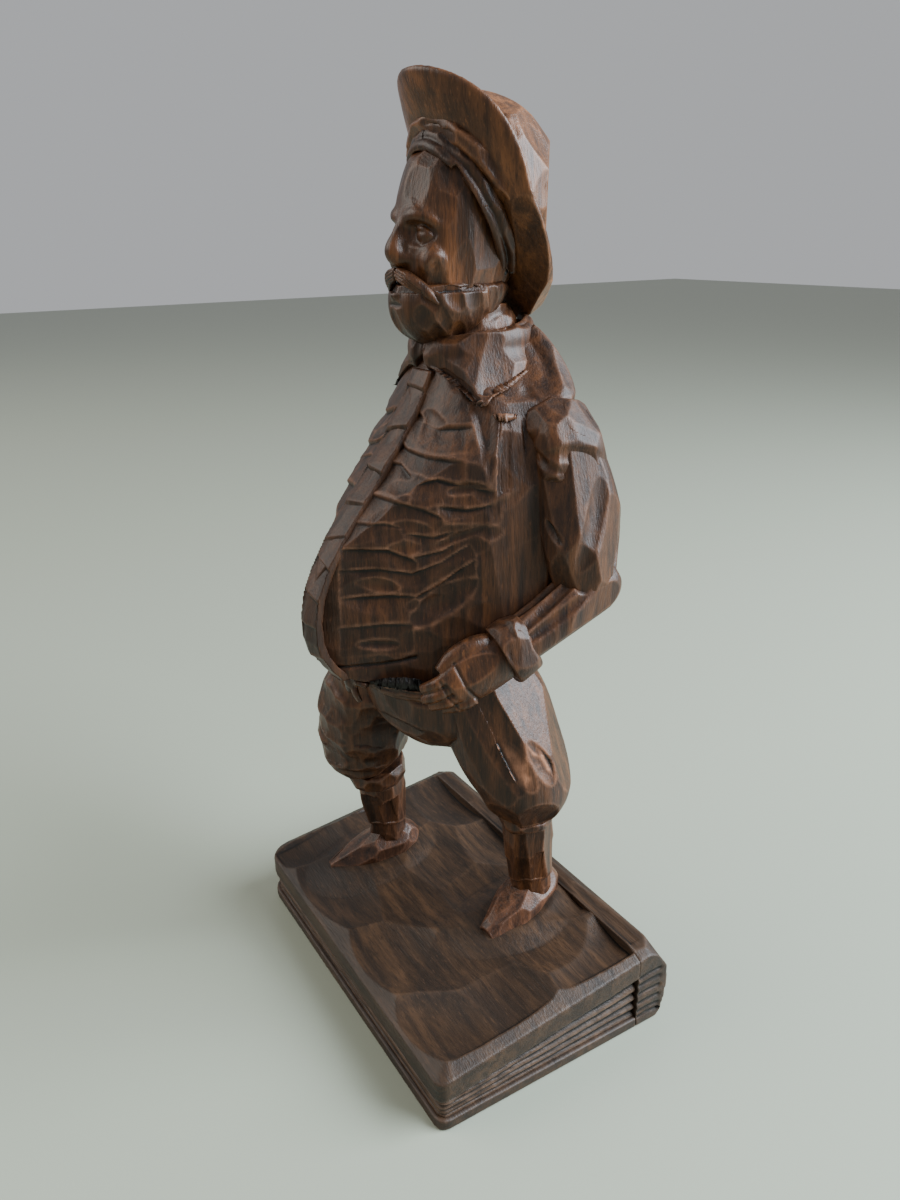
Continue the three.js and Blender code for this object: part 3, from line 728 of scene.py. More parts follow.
# ---------------------------------------------------------------- arms, all worked as left ones
def carve_shoulder(name, side):
    node = "shoulder_roll_" + name
    skin = Skin([loft(ARM["cap"], side=(0, 1, 0))], voxel=0.42, coarse=1.0, rounds=4)
    knife(skin, (24, 14, 172), (0.45, -0.45, 0.76), 0.8)
    knife(skin, (33, 22, 172), (0.72, 0.15, 0.68), 1.2)
    knife(skin, (30, 26, 168), (0.3, 0.85, 0.4), 1.2)
    knife(skin, (36, 18, 163), (0.95, -0.2, 0.1), 1.0)
    skin.whittle(6, 0.6)
    chart = limb((22, 18, 172), (30, 22, 158), 9, face=(1, -0.5, 0))
    skin.carve(chart, [scoop(2, 12, 20, 4.5, 0.9, turn=24), scoop(-7, 9, 14, 3.5, 0.9, turn=58)], worn=0.15)
    piece(node, skin, "jacket_wood", side)


def carve_upper_sleeve(name, side):
    node = "upper_sleeve_" + name
    skin = Skin([loft(ARM["upper"])], voxel=0.42, coarse=1.2, rounds=4)
    start, end, radius = (27, 20, 166), (33.5, 24, 127.5), 9.5
    middle = np.array((31, 22.5, 147))
    for degrees, height, depth in (
        (-50, 156, 2.1), (-30, 140, 1.2), (-8, 160, 1.5), (18, 150, 1.6), (42, 146, 1.7), (64, 138, 1.4),
        (-85, 146, 1.2), (95, 150, 1.3), (130, 145, 1.3), (160, 146, 1.0), (5, 131, 1.2), (-62, 131, 1.2),
    ):
        turn = math.radians(degrees)
        direction = np.array((math.cos(turn), math.sin(turn), 0.28 * (height - 146) / 14))
        spot = middle + direction * radius + (0, 0, height - middle[2])
        knife(skin, spot, direction, depth, reach=9)
    chart = limb(start, end, radius, face=(1, 0, 0))
    skin.carve(
        chart,
        [
            scoop(-1.5, 20, 25, 7.0, 1.1, turn=118, bow=-0.8),
            scoop(8.5, 31, 12, 3.6, 1.3, turn=112),
            scoop(-12, 20, 8, 2.6, 1.0, turn=58),
            scoop(16, 16, 16, 4, 1.3, turn=80),
            scoop(24, 26, 14, 4, 1.2, turn=100),
        ],
    )
    piece(node, skin, "jacket_wood", side)


def carve_lower_sleeve(name, side):
    node = "lower_sleeve_" + name
    skin = Skin([loft(ARM["lower"])], voxel=0.42, coarse=1.2, rounds=4)
    start, end, radius = np.array((33.5, 29, 131.5)), np.array((30.6, 5, 116.8)), 7.2
    knife(skin, (40, 20, 126), (0.95, 0.05, -0.1), 1.2)
    knife(skin, (38, 18, 118), (0.65, 0.25, -0.7), 1.6)
    knife(skin, (34, 14, 128), (0.4, -0.3, 0.85), 1.0)
    chart = limb(start, end, radius, face=(1, 0, 0))
    folds = []
    for u, v, t in ((-12, 18, 4), (-8, 17, -3), (-4, 19, 2), (5.4, 18, -2)):
        folds.append(scoop(u, v, 30, 3.4, 1.1, turn=90 + t))
    folds += [scoop(-9, 7, 13, 4.6, 1.5, turn=18), scoop(14, 15, 26, 5, 1.0, turn=90)]
    skin.carve(chart, folds)
    piece(node, skin, "jacket_wood", side)


def carve_cuff(name, side):
    node = "cuff_" + name
    roll = [((36.6, 2.6, 119), (0.9, 0.9)), ((34.8, 1.6, 122.4), (1.7, 1.7)),
            ((31.2, 1.6, 124.2), (1.4, 1.4)), ((28, 2, 124), (0.8, 0.8))]
    skin = Skin([loft(ARM["cuff"])], voxel=0.36, coarse=0.8, rounds=3, extras=[loft(roll, 10)])
    knife(skin, (38, 2, 114), (0.95, -0.1, 0.2), 0.9, reach=8)
    skin.whittle(5, 0.55, along=(0, -0.85, -0.5))
    piece(node, skin, "jacket_wood", side)


def carve_hand(name, side):
    """A loosely closed hand on the hip: the back of the hand, four fingers and the thumb."""
    node = "hand_" + name
    wrist, tips = np.array((29.9, -1.5, 114.0)), np.array((23.2, -20.4, 101.8))
    along = unit(tips - wrist)
    outward = unit(np.array((1, -0.2, 0.15)) - along * np.dot((1, -0.2, 0.15), along))
    across = np.cross(outward, along)
    across *= np.sign(across[2])
    extras = []
    for finger in range(4):
        off = 4.9 - 3.25 * finger
        reach = (20.0, 21.4, 20.8, 18.6)[finger]
        knuckle = wrist + along * 10 + across * off * 0.95 + outward * 1.9
        bend = wrist + along * (reach - 4.5) + across * off * 0.9 + outward * 1.5
        tip = wrist + along * reach + across * off * 0.82 - outward * 1.6
        extras.append(loft([(knuckle, (1.7, 1.6)), (bend, (1.65, 1.7)), (tip, (1.35, 1.3))], 12, side=across))
    extras.append(loft(ARM["thumb"], 14))
    skin = Skin([loft(ARM["palm"])], voxel=0.33, coarse=0.9, rounds=3, polish=2, extras=extras)
    back = wrist + along * 6
    knife(skin, back + outward * 5, outward + 0.3 * across, 0.8, reach=7)
    chart = flat(wrist, along, across)
    knuckles = [groove([(9.6, -6.5), (10.2, 0), (9.4, 6.5)], 1.4, 0.4),
                groove([(14.8, -5), (15.6, 0), (14.8, 5)], 1.3, 0.35)]
    skin.carve(chart, knuckles, keep=facing(outward, 0.3), towards=outward, worn=0.2)
    piece(node, skin, "skin_wood", side)


# ---------------------------------------------------------------- legs
def carve_right_breeches():
    skin = Skin([loft(BREECHES["right"])], voxel=0.45, coarse=1.2, rounds=4)
    start, end, radius = (-28, -11, 60), (-21, -9, 93), 14.5
    chart = limb(start, end, radius, face=(1, -0.4, 0))
    cuts = []
    for height, depth, width in ((3.5, 1.7, 5.5), (9.5, 1.5, 6.5), (16, 1.3, 7.5), (24.5, 1.1, 8),
                                 (33, 1.0, 6)):
        for lap in range(5):
            u = (lap - 2 + rng.uniform(-0.3, 0.3)) * 18.4
            shift, turn = rng.uniform(-2.6, 2.6), rng.uniform(-17, 17)
            strength = depth * rng.uniform(0.8, 1.4)
            length = rng.uniform(17, 30)
            cuts.append(scoop(u, height + shift, length, width * rng.uniform(0.7, 1.3), strength, turn=turn))
    skin.carve(chart, cuts)
    skin.whittle(7, 0.2, stretch=0.6)
    piece("breeches_leg_right", skin, "breeches_wood")


def carve_left_breeches():
    """The knee pushed back: a block cut by long facets, with two gouge marks on the upper one."""
    skin = Skin([loft(BREECHES["left"])], voxel=0.42, coarse=1.2, rounds=3)
    hip, knee = np.array((9, 3.5, 98.5)), np.array((24.6, 12, 66.5))
    along = unit(knee - hip)
    block = [
        ((32, 8, 84), (0.86, 0.12, 0.46), 2.3),
        ((26, -3, 84), (0.6, -0.8, 0.02), 1.6),
        ((20, -6, 84), (0.05, -0.99, -0.15), 1.3),
        ((33, 2, 78), (0.83, -0.53, 0.2), 1.1),
        ((30, 20, 82), (0.75, 0.65, 0.3), 1.5),
        ((20, 24, 80), (0.0, 0.97, 0.25), 1.5),
        ((8, 12, 80), (-0.9, -0.1, -0.4), 1.2),
        ((34, 10, 67), (0.85, -0.2, -0.5), 2.0),
        ((28, 2, 65), (0.35, -0.75, -0.55), 1.7),
    ]
    for spot, direction, depth in block:
        knife(skin, spot, direction, depth, reach=16)
    chart = flat((31, 6, 84), np.cross((0.86, 0.12, 0.46), along), along)
    upper = facing((0.86, 0.12, 0.46), 0.55)
    gouges = [scoop(-3.6, 1, 19, 5.4, 0.75, turn=76), scoop(2.8, 4, 15, 5.4, 0.8, turn=80)]
    bare = np.max([cut(*chart(skin.points)) for cut in gouges], axis=0)
    bare *= upper(skin.points, skin.normals())
    skin.carve(chart, gouges, keep=upper, towards=(0.86, 0.12, 0.46), worn=0.8)
    skin.marks["edge"] = np.maximum(skin.marks["edge"], 6 * np.clip(bare - 0.08, 0, 0.5))
    skin.whittle(8, 0.4, along=tuple(along), stretch=2.6, keep=facing((0.1, -1, -0.1), 0.2))
    piece("breeches_leg_left", skin, "breeches_wood")


def carve_lower_legs():
    for name in SIDES:
        band = Skin([cad_solid("knee_band_" + name)], voxel=0.36, coarse=0.8, rounds=3)
        band.whittle(4.5, 0.6, stretch=0.7)
        piece("knee_band_" + name, band, "breeches_wood")
        stocking = Skin([loft(STOCKINGS[name])], voxel=0.38, coarse=1.0, rounds=3)
        low, high = corners("stocking_" + name)
        middle = (low + high) / 2
        for degrees in (-100, -62, -28, 5, 38, 75, 120, 170):
            turn = math.radians(degrees)
            direction = (math.sin(turn), -math.cos(turn), rng.uniform(-0.05, 0.05))
            knife(stocking, middle + np.array(direction) * 7, direction, 0.9, reach=14)
        chart = upright(middle[0], middle[1], 6.8)
        fold = [(-22, low[2] + 9), (-4, low[2] + 8), (6, low[2] + 10), (22, low[2] + 9)]
        stocking.carve(chart, [shelf(fold, 3.5, 0.7)])
        stocking.whittle(4.5, 0.35, stretch=2.0)
        piece("stocking_" + name, stocking, "breeches_wood")


def carve_shoes():
    toes = {"left": ((18.4, 25.5), (24, -1)), "right": ((-28.5, 2), (-34.2, -24.5))}
    for name, (heel, toe) in toes.items():
        node = "shoe_" + name
        low, high = corners(node)
        skin = Skin([loft(SHOES[name])], voxel=0.36, coarse=0.9, rounds=3)
        along = unit((toe[0] - heel[0], toe[1] - heel[1], 0))
        outward = np.array((-along[1], along[0], 0))
        spot = np.array(((heel[0] + toe[0]) / 2, (heel[1] + toe[1]) / 2, high[2] - 3))
        for sign in (1, -1):
            knife(skin, spot, outward * sign + (0, 0, 0.75), 1.1)
            knife(skin, spot, outward * sign * 0.9 + along * 0.45 + (0, 0, 0.35), 0.9, reach=10)
        knife(skin, spot + along * 6, along * 0.5 + (0, 0, 0.85), 0.7, reach=8)
        skin.whittle(5, 0.45, along=tuple(along), stretch=1.6)
        piece(node, skin, "shoe_wood")


def carve_seat_and_belt():
    skin = Skin([cad_solid("breeches_seat")], voxel=0.5, coarse=1.5, rounds=6)
    chart = upright(MIDDLE, 2, 24)
    folds = []
    for _ in range(16):
        u, v, turn = rng.uniform(-70, 70), rng.uniform(80, 98), rng.uniform(-25, 25)
        folds.append(scoop(u, v, 22, 5, 1.1, turn=turn))
    skin.carve(chart, folds)
    skin.whittle(8, 0.5)
    piece("breeches_seat", skin, "breeches_wood")
    belt = Skin([cad_solid("belt", swell=0.5)], voxel=0.42, polish=4)
    lines = [wave((-80, 100.6), (80, 100.6), 26, 0.3), wave((-80, 102.6), (80, 102.8), 26, 0.25)]
    belt.carve(upright(MIDDLE, -1, 25), [groove(line, 1.3, 0.7) for line in lines])
    belt.whittle(7, 0.35, stretch=0.6)
    piece("belt", belt, "belt_wood")
    loop, tail = ((-3.5, -26.6, 101), (1.6, 1.0)), ((-3.5, -26.8, 101), (1.4, 1.0))
    bows = [
        [loop, ((0.5, -26.9, 102.6), (1.9, 1.2)), ((4, -25.9, 102.2), (1, 0.8))],
        [loop, ((-7.2, -26.9, 102.3), (1.9, 1.2)), ((-9.6, -25.6, 101), (1, 0.8))],
        [tail, ((-1.4, -26.8, 98), (1.5, 0.9)), ((-0.6, -26, 95.6), (1.1, 0.7))],
        [tail, ((-5.6, -26.8, 98.4), (1.5, 0.9)), ((-7.2, -26, 96.4), (1.1, 0.7))],
    ]
    wrap = ball((MIDDLE + 1, -27.0, 101.2), (2.6, 1.9, 2.4))
    knot = Skin([wrap], voxel=0.3, polish=2, extras=[loft(bow, 12) for bow in bows])
    piece("belt_buckle", knot, "belt_wood")


# ---------------------------------------------------------------- head and hat
HAT_CENTRE = np.array((MIDDLE, 12.2, 222))
HAT_FORWARD = np.array((0, -math.cos(math.radians(60)), math.sin(math.radians(60))))
HAT_BACK = np.array((0, math.sin(math.radians(60)), math.cos(math.radians(60))))


def in_hat(side, forward, back):
    return HAT_CENTRE + (side, 0, 0) + HAT_FORWARD * forward + HAT_BACK * back


def in_face(side, y, z):
    return (MIDDLE + side, y, z)


def front_of(skin, side, z):
    """How far forward the head reaches at a place on its front, as a y."""
    near = (np.abs(skin.points[:, 0] - MIDDLE - side) < 0.9) & (np.abs(skin.points[:, 2] - z) < 0.9)
    return skin.points[near, 1].min()


def carve_head():
    """A calm, plain face with even thirds: brow, base of the nose, chin."""
    forms = [loft(HEAD, level=True)]
    ridge = [((-9.6, -0.6, 217.6), (1.5, 1.5)), ((-5, -4.6, 219), (2.0, 2.0)), ((0, -5.4, 218.2), (1.8, 1.8)),
             ((5, -4.6, 219), (2.0, 2.0)), ((9.6, -0.6, 217.6), (1.5, 1.5))]
    forms.append(loft([(in_face(*at), r) for at, r in ridge], 14, side=(0, 0, 1)))
    nose = [((-5.4, 218.6), (1.5, 1.6)), ((-7.2, 214.4), (1.8, 2.0)), ((-8.6, 210.8), (2.5, 2.5)),
            ((-7.0, 208.0), (2.3, 1.6))]
    forms.append(loft([(in_face(0, y, z), r) for (y, z), r in nose], 14))
    for s in (1, -1):
        forms.append(ball(in_face(s * 6.8, -2.0, 208.6), (4.4, 3.8, 4.2)))
        forms.append(ball(in_face(s * 2.4, -6.2, 209.2), (1.7, 2.2, 1.5)))
    skin = Skin(forms, voxel=0.32, coarse=0.75, rounds=7, polish=3)
    front = flat(in_face(0, 0, 214.5), (1, 0, 0), (0, 0, 1))
    ahead = facing((0, -1, 0), 0.1)
    sockets = [scoop(s * 5.3, 0.3, 8.6, 6.2, 2.0, turn=-s * 5) for s in (1, -1)]
    skin.carve(front, sockets, keep=ahead, worn=0, towards=(0, -1, 0))
    skin.smooth(6)
    eyes = []
    for s in (1, -1):
        depth = front_of(skin, s * 5.3, 214.4)
        eyes.append(ball(in_face(s * 5.3, depth + 1.5, 214.3), (3.0, 2.1, 2.1)))
        for tall, thick in ((1.9, 0.62), (-1.5, 0.45)):
            lid = []
            for k in np.linspace(-1, 1, 7):
                out = depth + 0.1 + 1.5 * k * k
                size = thick * (1.15 - 0.75 * k * k)
                lid.append((in_face(s * (5.3 + 3.0 * k), out, 214.1 + tall * (1 - k * k)), (size, size)))
            eyes.append(loft(lid, 10, steps=3))
    skin = Skin([(skin.points, skin.squares.tolist())], voxel=0.27, polish=4, extras=eyes)

    def away_from_face(points, normal):
        off = np.hypot((points[:, 0] - MIDDLE) / 10.5, (points[:, 2] - 212.5) / 9.5)
        return np.where(points[:, 1] < 6, np.clip((off - 1) / 0.15, 0, 1), 1.0)

    skin.whittle(6, 0.45, stretch=1.5, keep=away_from_face, worn=0.25)
    piece("head", skin, "skin_wood")


def carve_beard():
    """A short full beard with the lower lip in it, cut in locks that fall to the chin."""
    lip = [((-3.4, -7.4, 201.2), (0.7, 0.7)), ((0, -8.9, 200.7), (1.1, 1.1)),
           ((3.4, -7.4, 201.2), (0.7, 0.7))]
    mouth = loft([(in_face(*at), r) for at, r in lip], 12, side=(0, 0, 1))
    skin = Skin([loft(BEARD, level=True)], voxel=0.32, coarse=1.0, rounds=3, polish=2, extras=[mouth])
    chart = upright(MIDDLE, 7, 14)
    cuts = []
    for row, (height, count) in enumerate(((199.5, 12), (195.5, 11), (191.5, 9))):
        for degrees in np.linspace(-140, 140, count) + rng.normal(0, 6, count):
            if row == 0 and abs(degrees) < 20:
                continue
            u = math.radians(degrees) * 14
            lean = 90 + 0.35 * degrees + rng.normal(0, 9)
            length, width = rng.uniform(6, 10), rng.uniform(3.4, 5.4)
            v, deep = height + rng.normal(0, 0.9), rng.uniform(0.35, 0.8)
            cuts.append(scoop(u, v, length, width, deep, turn=lean))
    cuts.append(scoop(0, 198.6, 6, 1.8, 0.7))
    skin.carve(chart, cuts, worn=0.25)

    def rim(points, normal):
        out = np.hypot(points[:, 0] - MIDDLE, points[:, 1] - 7)
        return ((points[:, 2] > 201.5) & (out > 12)) * 1.0

    skin.whittle(5, 0.8, stretch=0.8, keep=rim, worn=0.2)
    piece("beard", skin, "hair_wood")


def carve_moustache():
    half = [((0, -8.0, 205.8), (1.5, 1.3)), ((4.4, -7.6, 204.6), (1.9, 1.6)),
            ((8.4, -4.6, 201.6), (1.5, 1.4)),
            ((10.4, -2.4, 198.8), (0.5, 0.5))]
    parts = []
    for s in (1, -1):
        parts.append(loft([(in_face(s * x, y, z), r) for (x, y, z), r in half], 14, side=(0, 0, 1)))
    skin = Skin(parts, voxel=0.27, polish=2)
    chart = flat(in_face(0, 0, 0), (1, 0, 0), (0, 0, 1))
    hairs = []
    for s in (1, -1):
        for k in (-0.9, 0.0, 0.9):
            hair = [(s * 0.8, 205.8 + k), (s * 4.6, 204.6 + k), (s * 8.6, 201.4 + k * 0.6)]
            hairs.append(groove(hair, 0.8, 0.45))
    hairs.append(groove([(0, 208), (0, 203)], 1.0, 0.8))
    skin.carve(chart, hairs)
    piece("moustache", skin, "hair_wood")


def carve_hair(name, side):
    """The raised double strip of hair that frames the face, from the forehead to the jaw."""
    node = "hair_" + name
    strips = []
    for wide, long, back, thick in ((14.6, 18.6, -4.6, 1.5), (15.6, 19.8, -2.2, 1.7)):
        line = []
        for k, turn in enumerate(np.radians(np.linspace(-2, 142, 15))):
            size = thick * (1 - 0.35 * (k / 14) ** 2)
            place = in_hat(wide * math.sin(turn), -2 + long * math.cos(turn), back + rng.normal(0, 0.12))
            line.append((place, (size + rng.normal(0, 0.08), size)))
        strips.append(loft(line, 12, steps=3, side=tuple(HAT_BACK)))
    skin = Skin(strips, voxel=0.33, polish=3)
    skin.whittle(4.5, 0.25, stretch=1.5, worn=0.3)
    piece(node, skin, "hair_wood", side)


def brim_plate():
    """A swept oval plate, thick at its lower end. Its lower face is pared back to a thin rim at the rear."""
    turns = np.linspace(0, 2 * math.pi, 60, endpoint=False)
    rings = []
    # Each ring's share of the full size and its height, out over the lower face and back over the upper one.
    profile = [(0.02, -1), (0.5, -1), (0.74, -0.95), (0.88, -0.6), (0.99, -0.05)]
    profile += [(1.0, 0.35), (0.99, 0.8), (0.92, 1), (0.5, 1), (0.02, 1)]
    for share, lift in profile:
        ring = []
        for turn in turns:
            down = max(0.0, -math.cos(turn))
            lift_here = lift
            if lift < 0.5:
                lift_here += (min(lift, -0.7) - lift) * down**3
            x, y = share * math.sin(turn), share * math.cos(turn)
            half = 1.7 + 1.9 * down**2 * share
            sweep = 1.9 * x**2 + 1.2 * (share * down) ** 2 + 9.5 * x**2 * max(y, 0)
            ring.append(in_hat(24.4 * x, 32.6 * y, sweep + lift_here * half))
        rings.append(np.array(ring))
    return stack(rings)


def carve_brim():
    """A swept brim with a crease where its side turns back, and a thick, flat-cut lower end."""
    skin = Skin([brim_plate()], voxel=0.36, coarse=0.55, rounds=8, polish=10)
    for s in (1, -1):
        knife(skin, in_hat(s * 17, -23, 1), unit((s * 0.62, 0, 0) - 0.78 * HAT_FORWARD), 1.0, reach=12)
        crease = unit(-HAT_BACK + (s * 0.42, 0, 0) - 0.1 * HAT_FORWARD)
        knife(skin, in_hat(s * 18, -4, 0), crease, 0.7, reach=9)
    skin.smooth(3)
    piece("hat_brim", skin, "hat_wood")


def carve_crown():
    sections = [
        ((0, 0, -1), (19.4, 22)), ((0, 0.8, 6), (19.4, 22.4)), ((0, 2.8, 12), (18.6, 21.4)),
        ((0, 4.8, 17.5), (15.8, 17.6)), ((0, 6, 21.6), (10, 11)), ((0, 6.4, 23), (4.4, 5)),
    ]
    dome = loft([(in_hat(*at), size) for at, size in sections])
    skin = Skin([dome], voxel=0.45, coarse=1.2, rounds=3)
    facets = [  # the way each one faces (side, forward, back) and its depth; one off the middle has a twin
        (0, 0.1, 1, 1.2), (0.75, 0.25, 0.6, 1.6), (0.45, 0.8, 0.45, 1.4), (0.8, -0.45, 0.45, 1.6),
        (0, -0.75, 0.66, 2.6), (0.95, 0.1, 0.1, 0.9), (0, 0.97, 0.15, 1.0), (0.7, 0.72, 0.05, 0.8),
    ]
    for side, forward, back, depth in facets:
        for s in (1, -1) if side else (1,):
            direction = unit((s * side, 0, 0) + forward * HAT_FORWARD + back * HAT_BACK)
            knife(skin, HAT_CENTRE + HAT_BACK * 8, direction, depth, reach=40)
    for s in (1, -1):
        direction = unit((s * 0.6, 0, 0) - 0.42 * HAT_FORWARD + 0.68 * HAT_BACK)
        skin.shave([(HAT_CENTRE + direction * 19.9, direction)])
    skin.whittle(9, 0.4, along=tuple(HAT_FORWARD), stretch=1.6)
    piece("hat_crown", skin, "hat_wood")


def carve_neck():
    """A thick neck, cut in upright facets and shut in by the hair, the hat and the collar."""
    thick = [((MIDDLE, 13.5, 183), (13.4, 12.4)), ((MIDDLE, 13.4, 190), (12.2, 12.4)),
             ((MIDDLE, 13.4, 194), (11.6, 12)),
             ((MIDDLE, 14, 199), (7, 8))]
    skin = Skin([cad_solid("neck", swell=0.5), loft(thick, level=True)], voxel=0.42, polish=6)
    skin.whittle(7, 0.7, stretch=1.2)
    piece("neck", skin, "skin_wood")


# ---------------------------------------------------------------- the book
def carve_book():
    """A closed book, thicker at the spine: bevelled boards, wavy page edges and a field of shallow scoops."""
    low, high = corners("book_upper_cover")
    bevel, rise, slope, front_top = 5.5, 2.4, 0.12, 16.0
    radii = np.array((3.0, 0.4, 0.4, 7.0))

    def layer(inset, height, more=0.0):
        around = rounded((low[0] + inset, high[0] - inset), (low[1] + inset, high[1] + 0.4),
                         np.maximum(radii - 0.6 * inset, 0.4))
        tops = height + slope * (around[:, 1] - low[1]) + more
        return np.column_stack([around, tops])

    cover = stack([layer(0, low[2]), layer(0, front_top - 0.4), layer(bevel, front_top + rise - 0.1)])
    skin = Skin([cover], voxel=0.52, polish=7)
    feet = [(corners("shoe_" + name)[0] + corners("shoe_" + name)[1]) / 2 for name in ("right", "left")]

    scoops = []
    for row, y in enumerate((-27, -10, 8, 25)):
        for column in range(4):
            x = -46 + 29 * column + 12 * (row % 2) + rng.uniform(-5, 5)
            turn, length, width = 25 + rng.normal(0, 35), rng.uniform(32, 46), rng.uniform(20, 27)
            scoops.append(scoop(x, y + rng.uniform(-4, 4), length, width, rng.uniform(1.9, 3.2), turn=turn))
    scooped = np.array([cut(skin.points[:, 0], skin.points[:, 1]) for cut in scoops])
    hollow = np.maximum(scooped.max(axis=0), -0.5)
    near_feet = np.ones(len(skin.points))
    for foot in feet:
        away = np.hypot((skin.points[:, 0] - foot[0]) / 11, (skin.points[:, 1] - foot[1]) / 17)
        near_feet = np.minimum(near_feet, np.clip((away - 0.7) / 0.7, 0, 1))
    ground = front_top + rise + slope * (skin.points[:, 1] - low[1]) - near_feet * (0.8 + 0.85 * hollow)
    edge = np.maximum(np.abs(skin.points[:, 0]) - 54, -36 - skin.points[:, 1])
    ground = ground + np.maximum(edge, 0) * 1.2
    depth = (skin.points[:, 2] - ground) * (skin.normals()[:, 2] > 0.3)
    skin.take_off(depth, scooped.argmax(axis=0), np.array((0, 0, 1.0)), None, skin.normals(), 0.08)
    piece("book_upper_cover", skin, "book_wood")

    low, high = corners("book_page_block")

    def leaf(share):
        around = rounded((low[0], high[0]), (low[1], high[1]), np.maximum(radii - 0.8, 0.6))
        top = 9.3 + (high[2] - 9.3) * (around[:, 1] - low[1]) / (high[1] - low[1])
        return np.column_stack([around, low[2] - 0.3 + share * (top + 0.6 - low[2])])

    pages = Skin([stack([leaf(0), leaf(1)])], voxel=0.45, polish=4)
    lines = [wave((-160, k), (160, k), 40, 0.02) for k in (0.12, 0.34, 0.6, 0.84)]

    def round_edge(points):
        along = points[:, 0] + np.sign(points[:, 0]) * (points[:, 1] - low[1])
        top = 9.3 + (high[2] - 9.3) * (points[:, 1] - low[1]) / (high[1] - low[1])
        return along, (points[:, 2] - low[2]) / (top - low[2]) * 9

    def upright_faces(points, normal):
        return np.clip((0.6 - np.abs(normal[:, 2])) / 0.4, 0, 1)

    leaves = [groove([(u, 9 * v) for u, v in line], 1.9, 1.0) for line in lines]
    pages.carve(round_edge, leaves, keep=upright_faces)
    piece("book_page_block", pages, "book_wood")

    low, high = corners("book_lower_cover")
    around = rounded((low[0], high[0]), (low[1], high[1]), radii)
    board = [np.column_stack([around, np.full(len(around), z)]) for z in (low[2] + 0.05, high[2] + 0.2)]
    skin = Skin([stack(board)], voxel=0.5, polish=4)
    piece("book_lower_cover", skin, "book_wood")

    # The spine is one rounded back, flush with the boards and bevelled at its ends as they are.
    back = [(28.4, 0.1), (36, 0.1), (37.8, 2.2), (39.2, 7), (39.7, 13), (39.2, 18.5), (37.6, 22.8),
            (35.2, 25.6), (32.4, 26.8), (28.4, 26.2)]
    slices = []
    for x, drop in ((-58, 2.6), (-56, 1.6), (-52.5, 0.0), (-20, -0.2), (25, 0.1), (52.5, 0.0), (56, 1.6),
                    (58, 2.6)):
        outline = [(x, y, min(z, z - drop * (z > 20) - 0.4 * drop * (10 < z < 20))) for y, z in back]
        slices.append(np.array(outline))
    skin = Skin([stack(slices)], voxel=0.5, polish=8)
    skin.whittle(12, 0.5, along=(1, 0, 0), stretch=2.6, bowl=0.006, keep=facing((0, 0.8, 0.6), 0.3),
                 tilt=0.03)
    leaves = []
    for z in (3.3, 5.2, 8.2, 11.5, 14.7, 17.3):
        leaves.append(groove([(28, z), (32, z + 0.3), (36.5, z - 0.4 + 0.05 * z)], 2.0, 0.7))

    def ends(points, normal):
        return np.clip((np.abs(normal[:, 0]) - 0.6) / 0.2, 0, 1)

    skin.carve(flat((0, 0, 0), (0, 1, 0), (0, 0, 1)), leaves, keep=ends, worn=0)
    piece("book_spine", skin, "book_wood")


carve_book()
carve_shoes()
carve_lower_legs()
carve_right_breeches()
carve_left_breeches()
carve_seat_and_belt()
carve_jacket()
carve_placket()
for name, side in SIDES.items():
    carve_collar(name, side)
    carve_shoulder(name, side)
    carve_upper_sleeve(name, side)
    carve_lower_sleeve(name, side)
    carve_cuff(name, side)
    carve_hand(name, side)
    carve_hair(name, side)
carve_neck()
carve_head()
carve_beard()
carve_moustache()
carve_brim()
carve_crown()

for node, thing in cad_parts.items():
    if node.startswith("dowel_"):
        thing.data.materials.clear()
        thing.data.materials.append(looks["dowel_wood"])


# ---------------------------------------------------------------- floor, light and camera
LIGHT_AIM = (0, 0, 0.12)
FLOOR_REACH = 3.0
FLOOR_COLOUR = (0.31, 0.335, 0.265, 1)
SKY_COLOUR, SKY_STRENGTH = (0.9, 0.92, 0.95, 1), 0.5


def area_light(name, place, size, power, colour):
    """A soft light at a place in metres, with its size in metres and its power in watts."""
    light = bpy.data.lights.new(name, "AREA")
    light.shape = "RECTANGLE"
    light.size, light.size_y = size
    light.energy = power
    light.color = colour
    thing = bpy.data.objects.new(name, light)
    thing.location = place
    thing.rotation_euler = (Vector(place) - Vector(LIGHT_AIM)).to_track_quat("Z", "Y").to_euler()
    bpy.context.scene.collection.objects.link(thing)


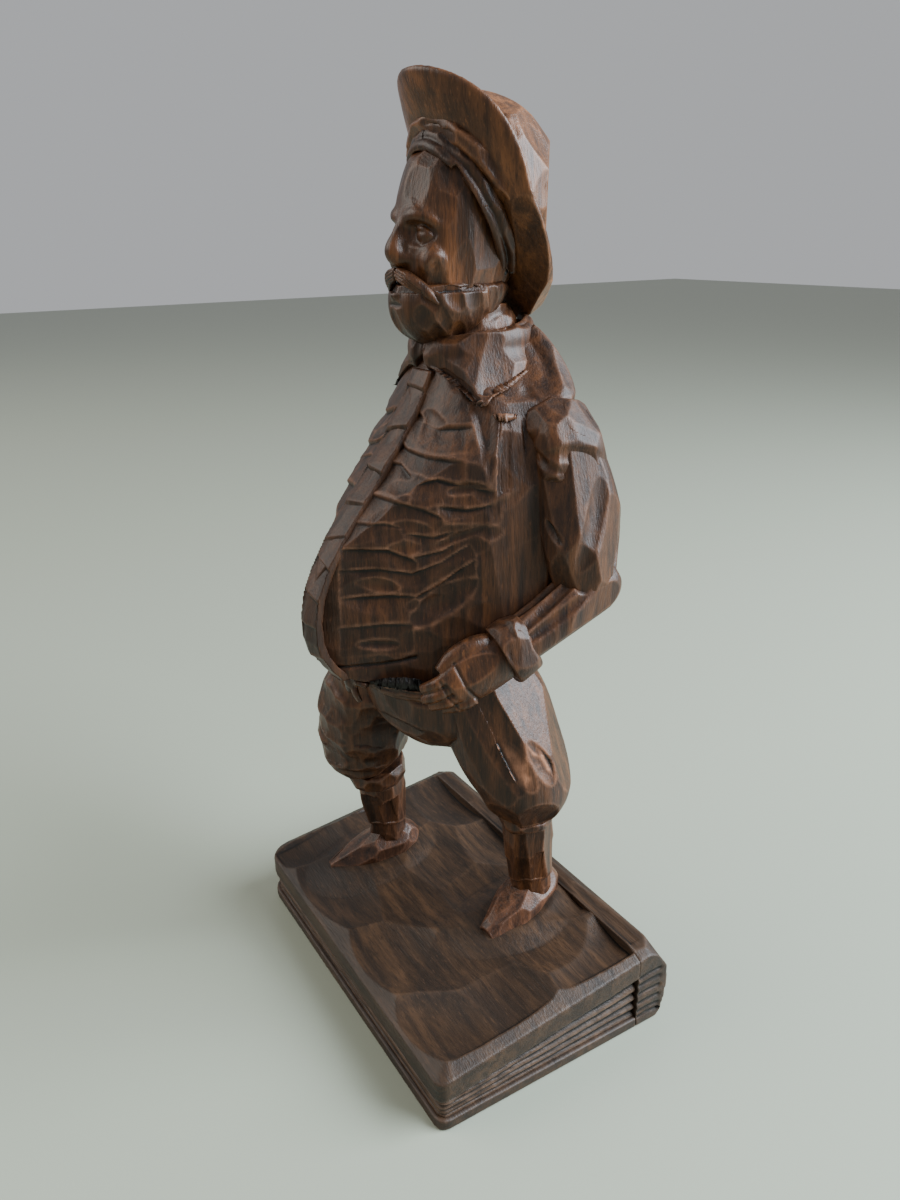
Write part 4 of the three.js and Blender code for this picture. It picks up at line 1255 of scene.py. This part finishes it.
def make_floor():
    mesh = bpy.data.meshes.new("floor")
    reach = FLOOR_REACH
    square = [(-reach, -reach, 0), (reach, -reach, 0), (reach, reach, 0), (-reach, reach, 0)]
    mesh.from_pydata(square, [], [(0, 1, 2, 3)])
    floor = bpy.data.objects.new("floor", mesh)
    bpy.context.scene.collection.objects.link(floor)
    material = bpy.data.materials.new("floor")
    material.use_nodes = True
    shader = material.node_tree.nodes["Principled BSDF"]
    shader.inputs["Base Color"].default_value = FLOOR_COLOUR
    shader.inputs["Roughness"].default_value = 0.45
    mesh.materials.append(material)


CAMERA = {"azimuth": 58.82, "elevation": 21.5, "roll": -0.87}  # degrees
CAMERA_DISTANCE = 0.2626  # metres, from a point in the middle of the figure
CAMERA_AIM = np.array([0, 0.0029, 0.1194])
LENS, SENSOR = 28.23, 36  # millimetres


def make_camera():
    """The camera looks down at the figure's left front from close by."""
    a, e, r = (math.radians(CAMERA[k]) for k in ("azimuth", "elevation", "roll"))
    back = np.array([math.sin(a) * math.cos(e), -math.cos(a) * math.cos(e), math.sin(e)])
    right = unit(np.cross(-back, (0, 0, 1)))
    up = np.cross(right, -back)
    right, up = math.cos(r) * right + math.sin(r) * up, math.cos(r) * up - math.sin(r) * right
    place = CAMERA_AIM + back * CAMERA_DISTANCE
    data = bpy.data.cameras.new("camera")
    data.sensor_width = SENSOR
    data.lens = LENS
    data.clip_start = 0.01
    camera = bpy.data.objects.new("camera", data)
    turn = Matrix((right, up, back)).transposed().to_4x4()
    camera.matrix_world = Matrix.Translation(Vector(place)) @ turn
    bpy.context.scene.collection.objects.link(camera)
    bpy.context.scene.camera = camera


make_floor()
area_light("window", (0.55, 0.62, 0.62), (0.8, 0.8), 44, (0.82, 0.91, 1.0))
area_light("room", (-0.7, -1.0, 0.9), (1.2, 1.0), 16, (1.0, 0.94, 0.86))
world = bpy.data.worlds.new("world")
world.use_nodes = True
world.node_tree.nodes["Background"].inputs["Color"].default_value = SKY_COLOUR
world.node_tree.nodes["Background"].inputs["Strength"].default_value = SKY_STRENGTH
bpy.context.scene.world = world
make_camera()
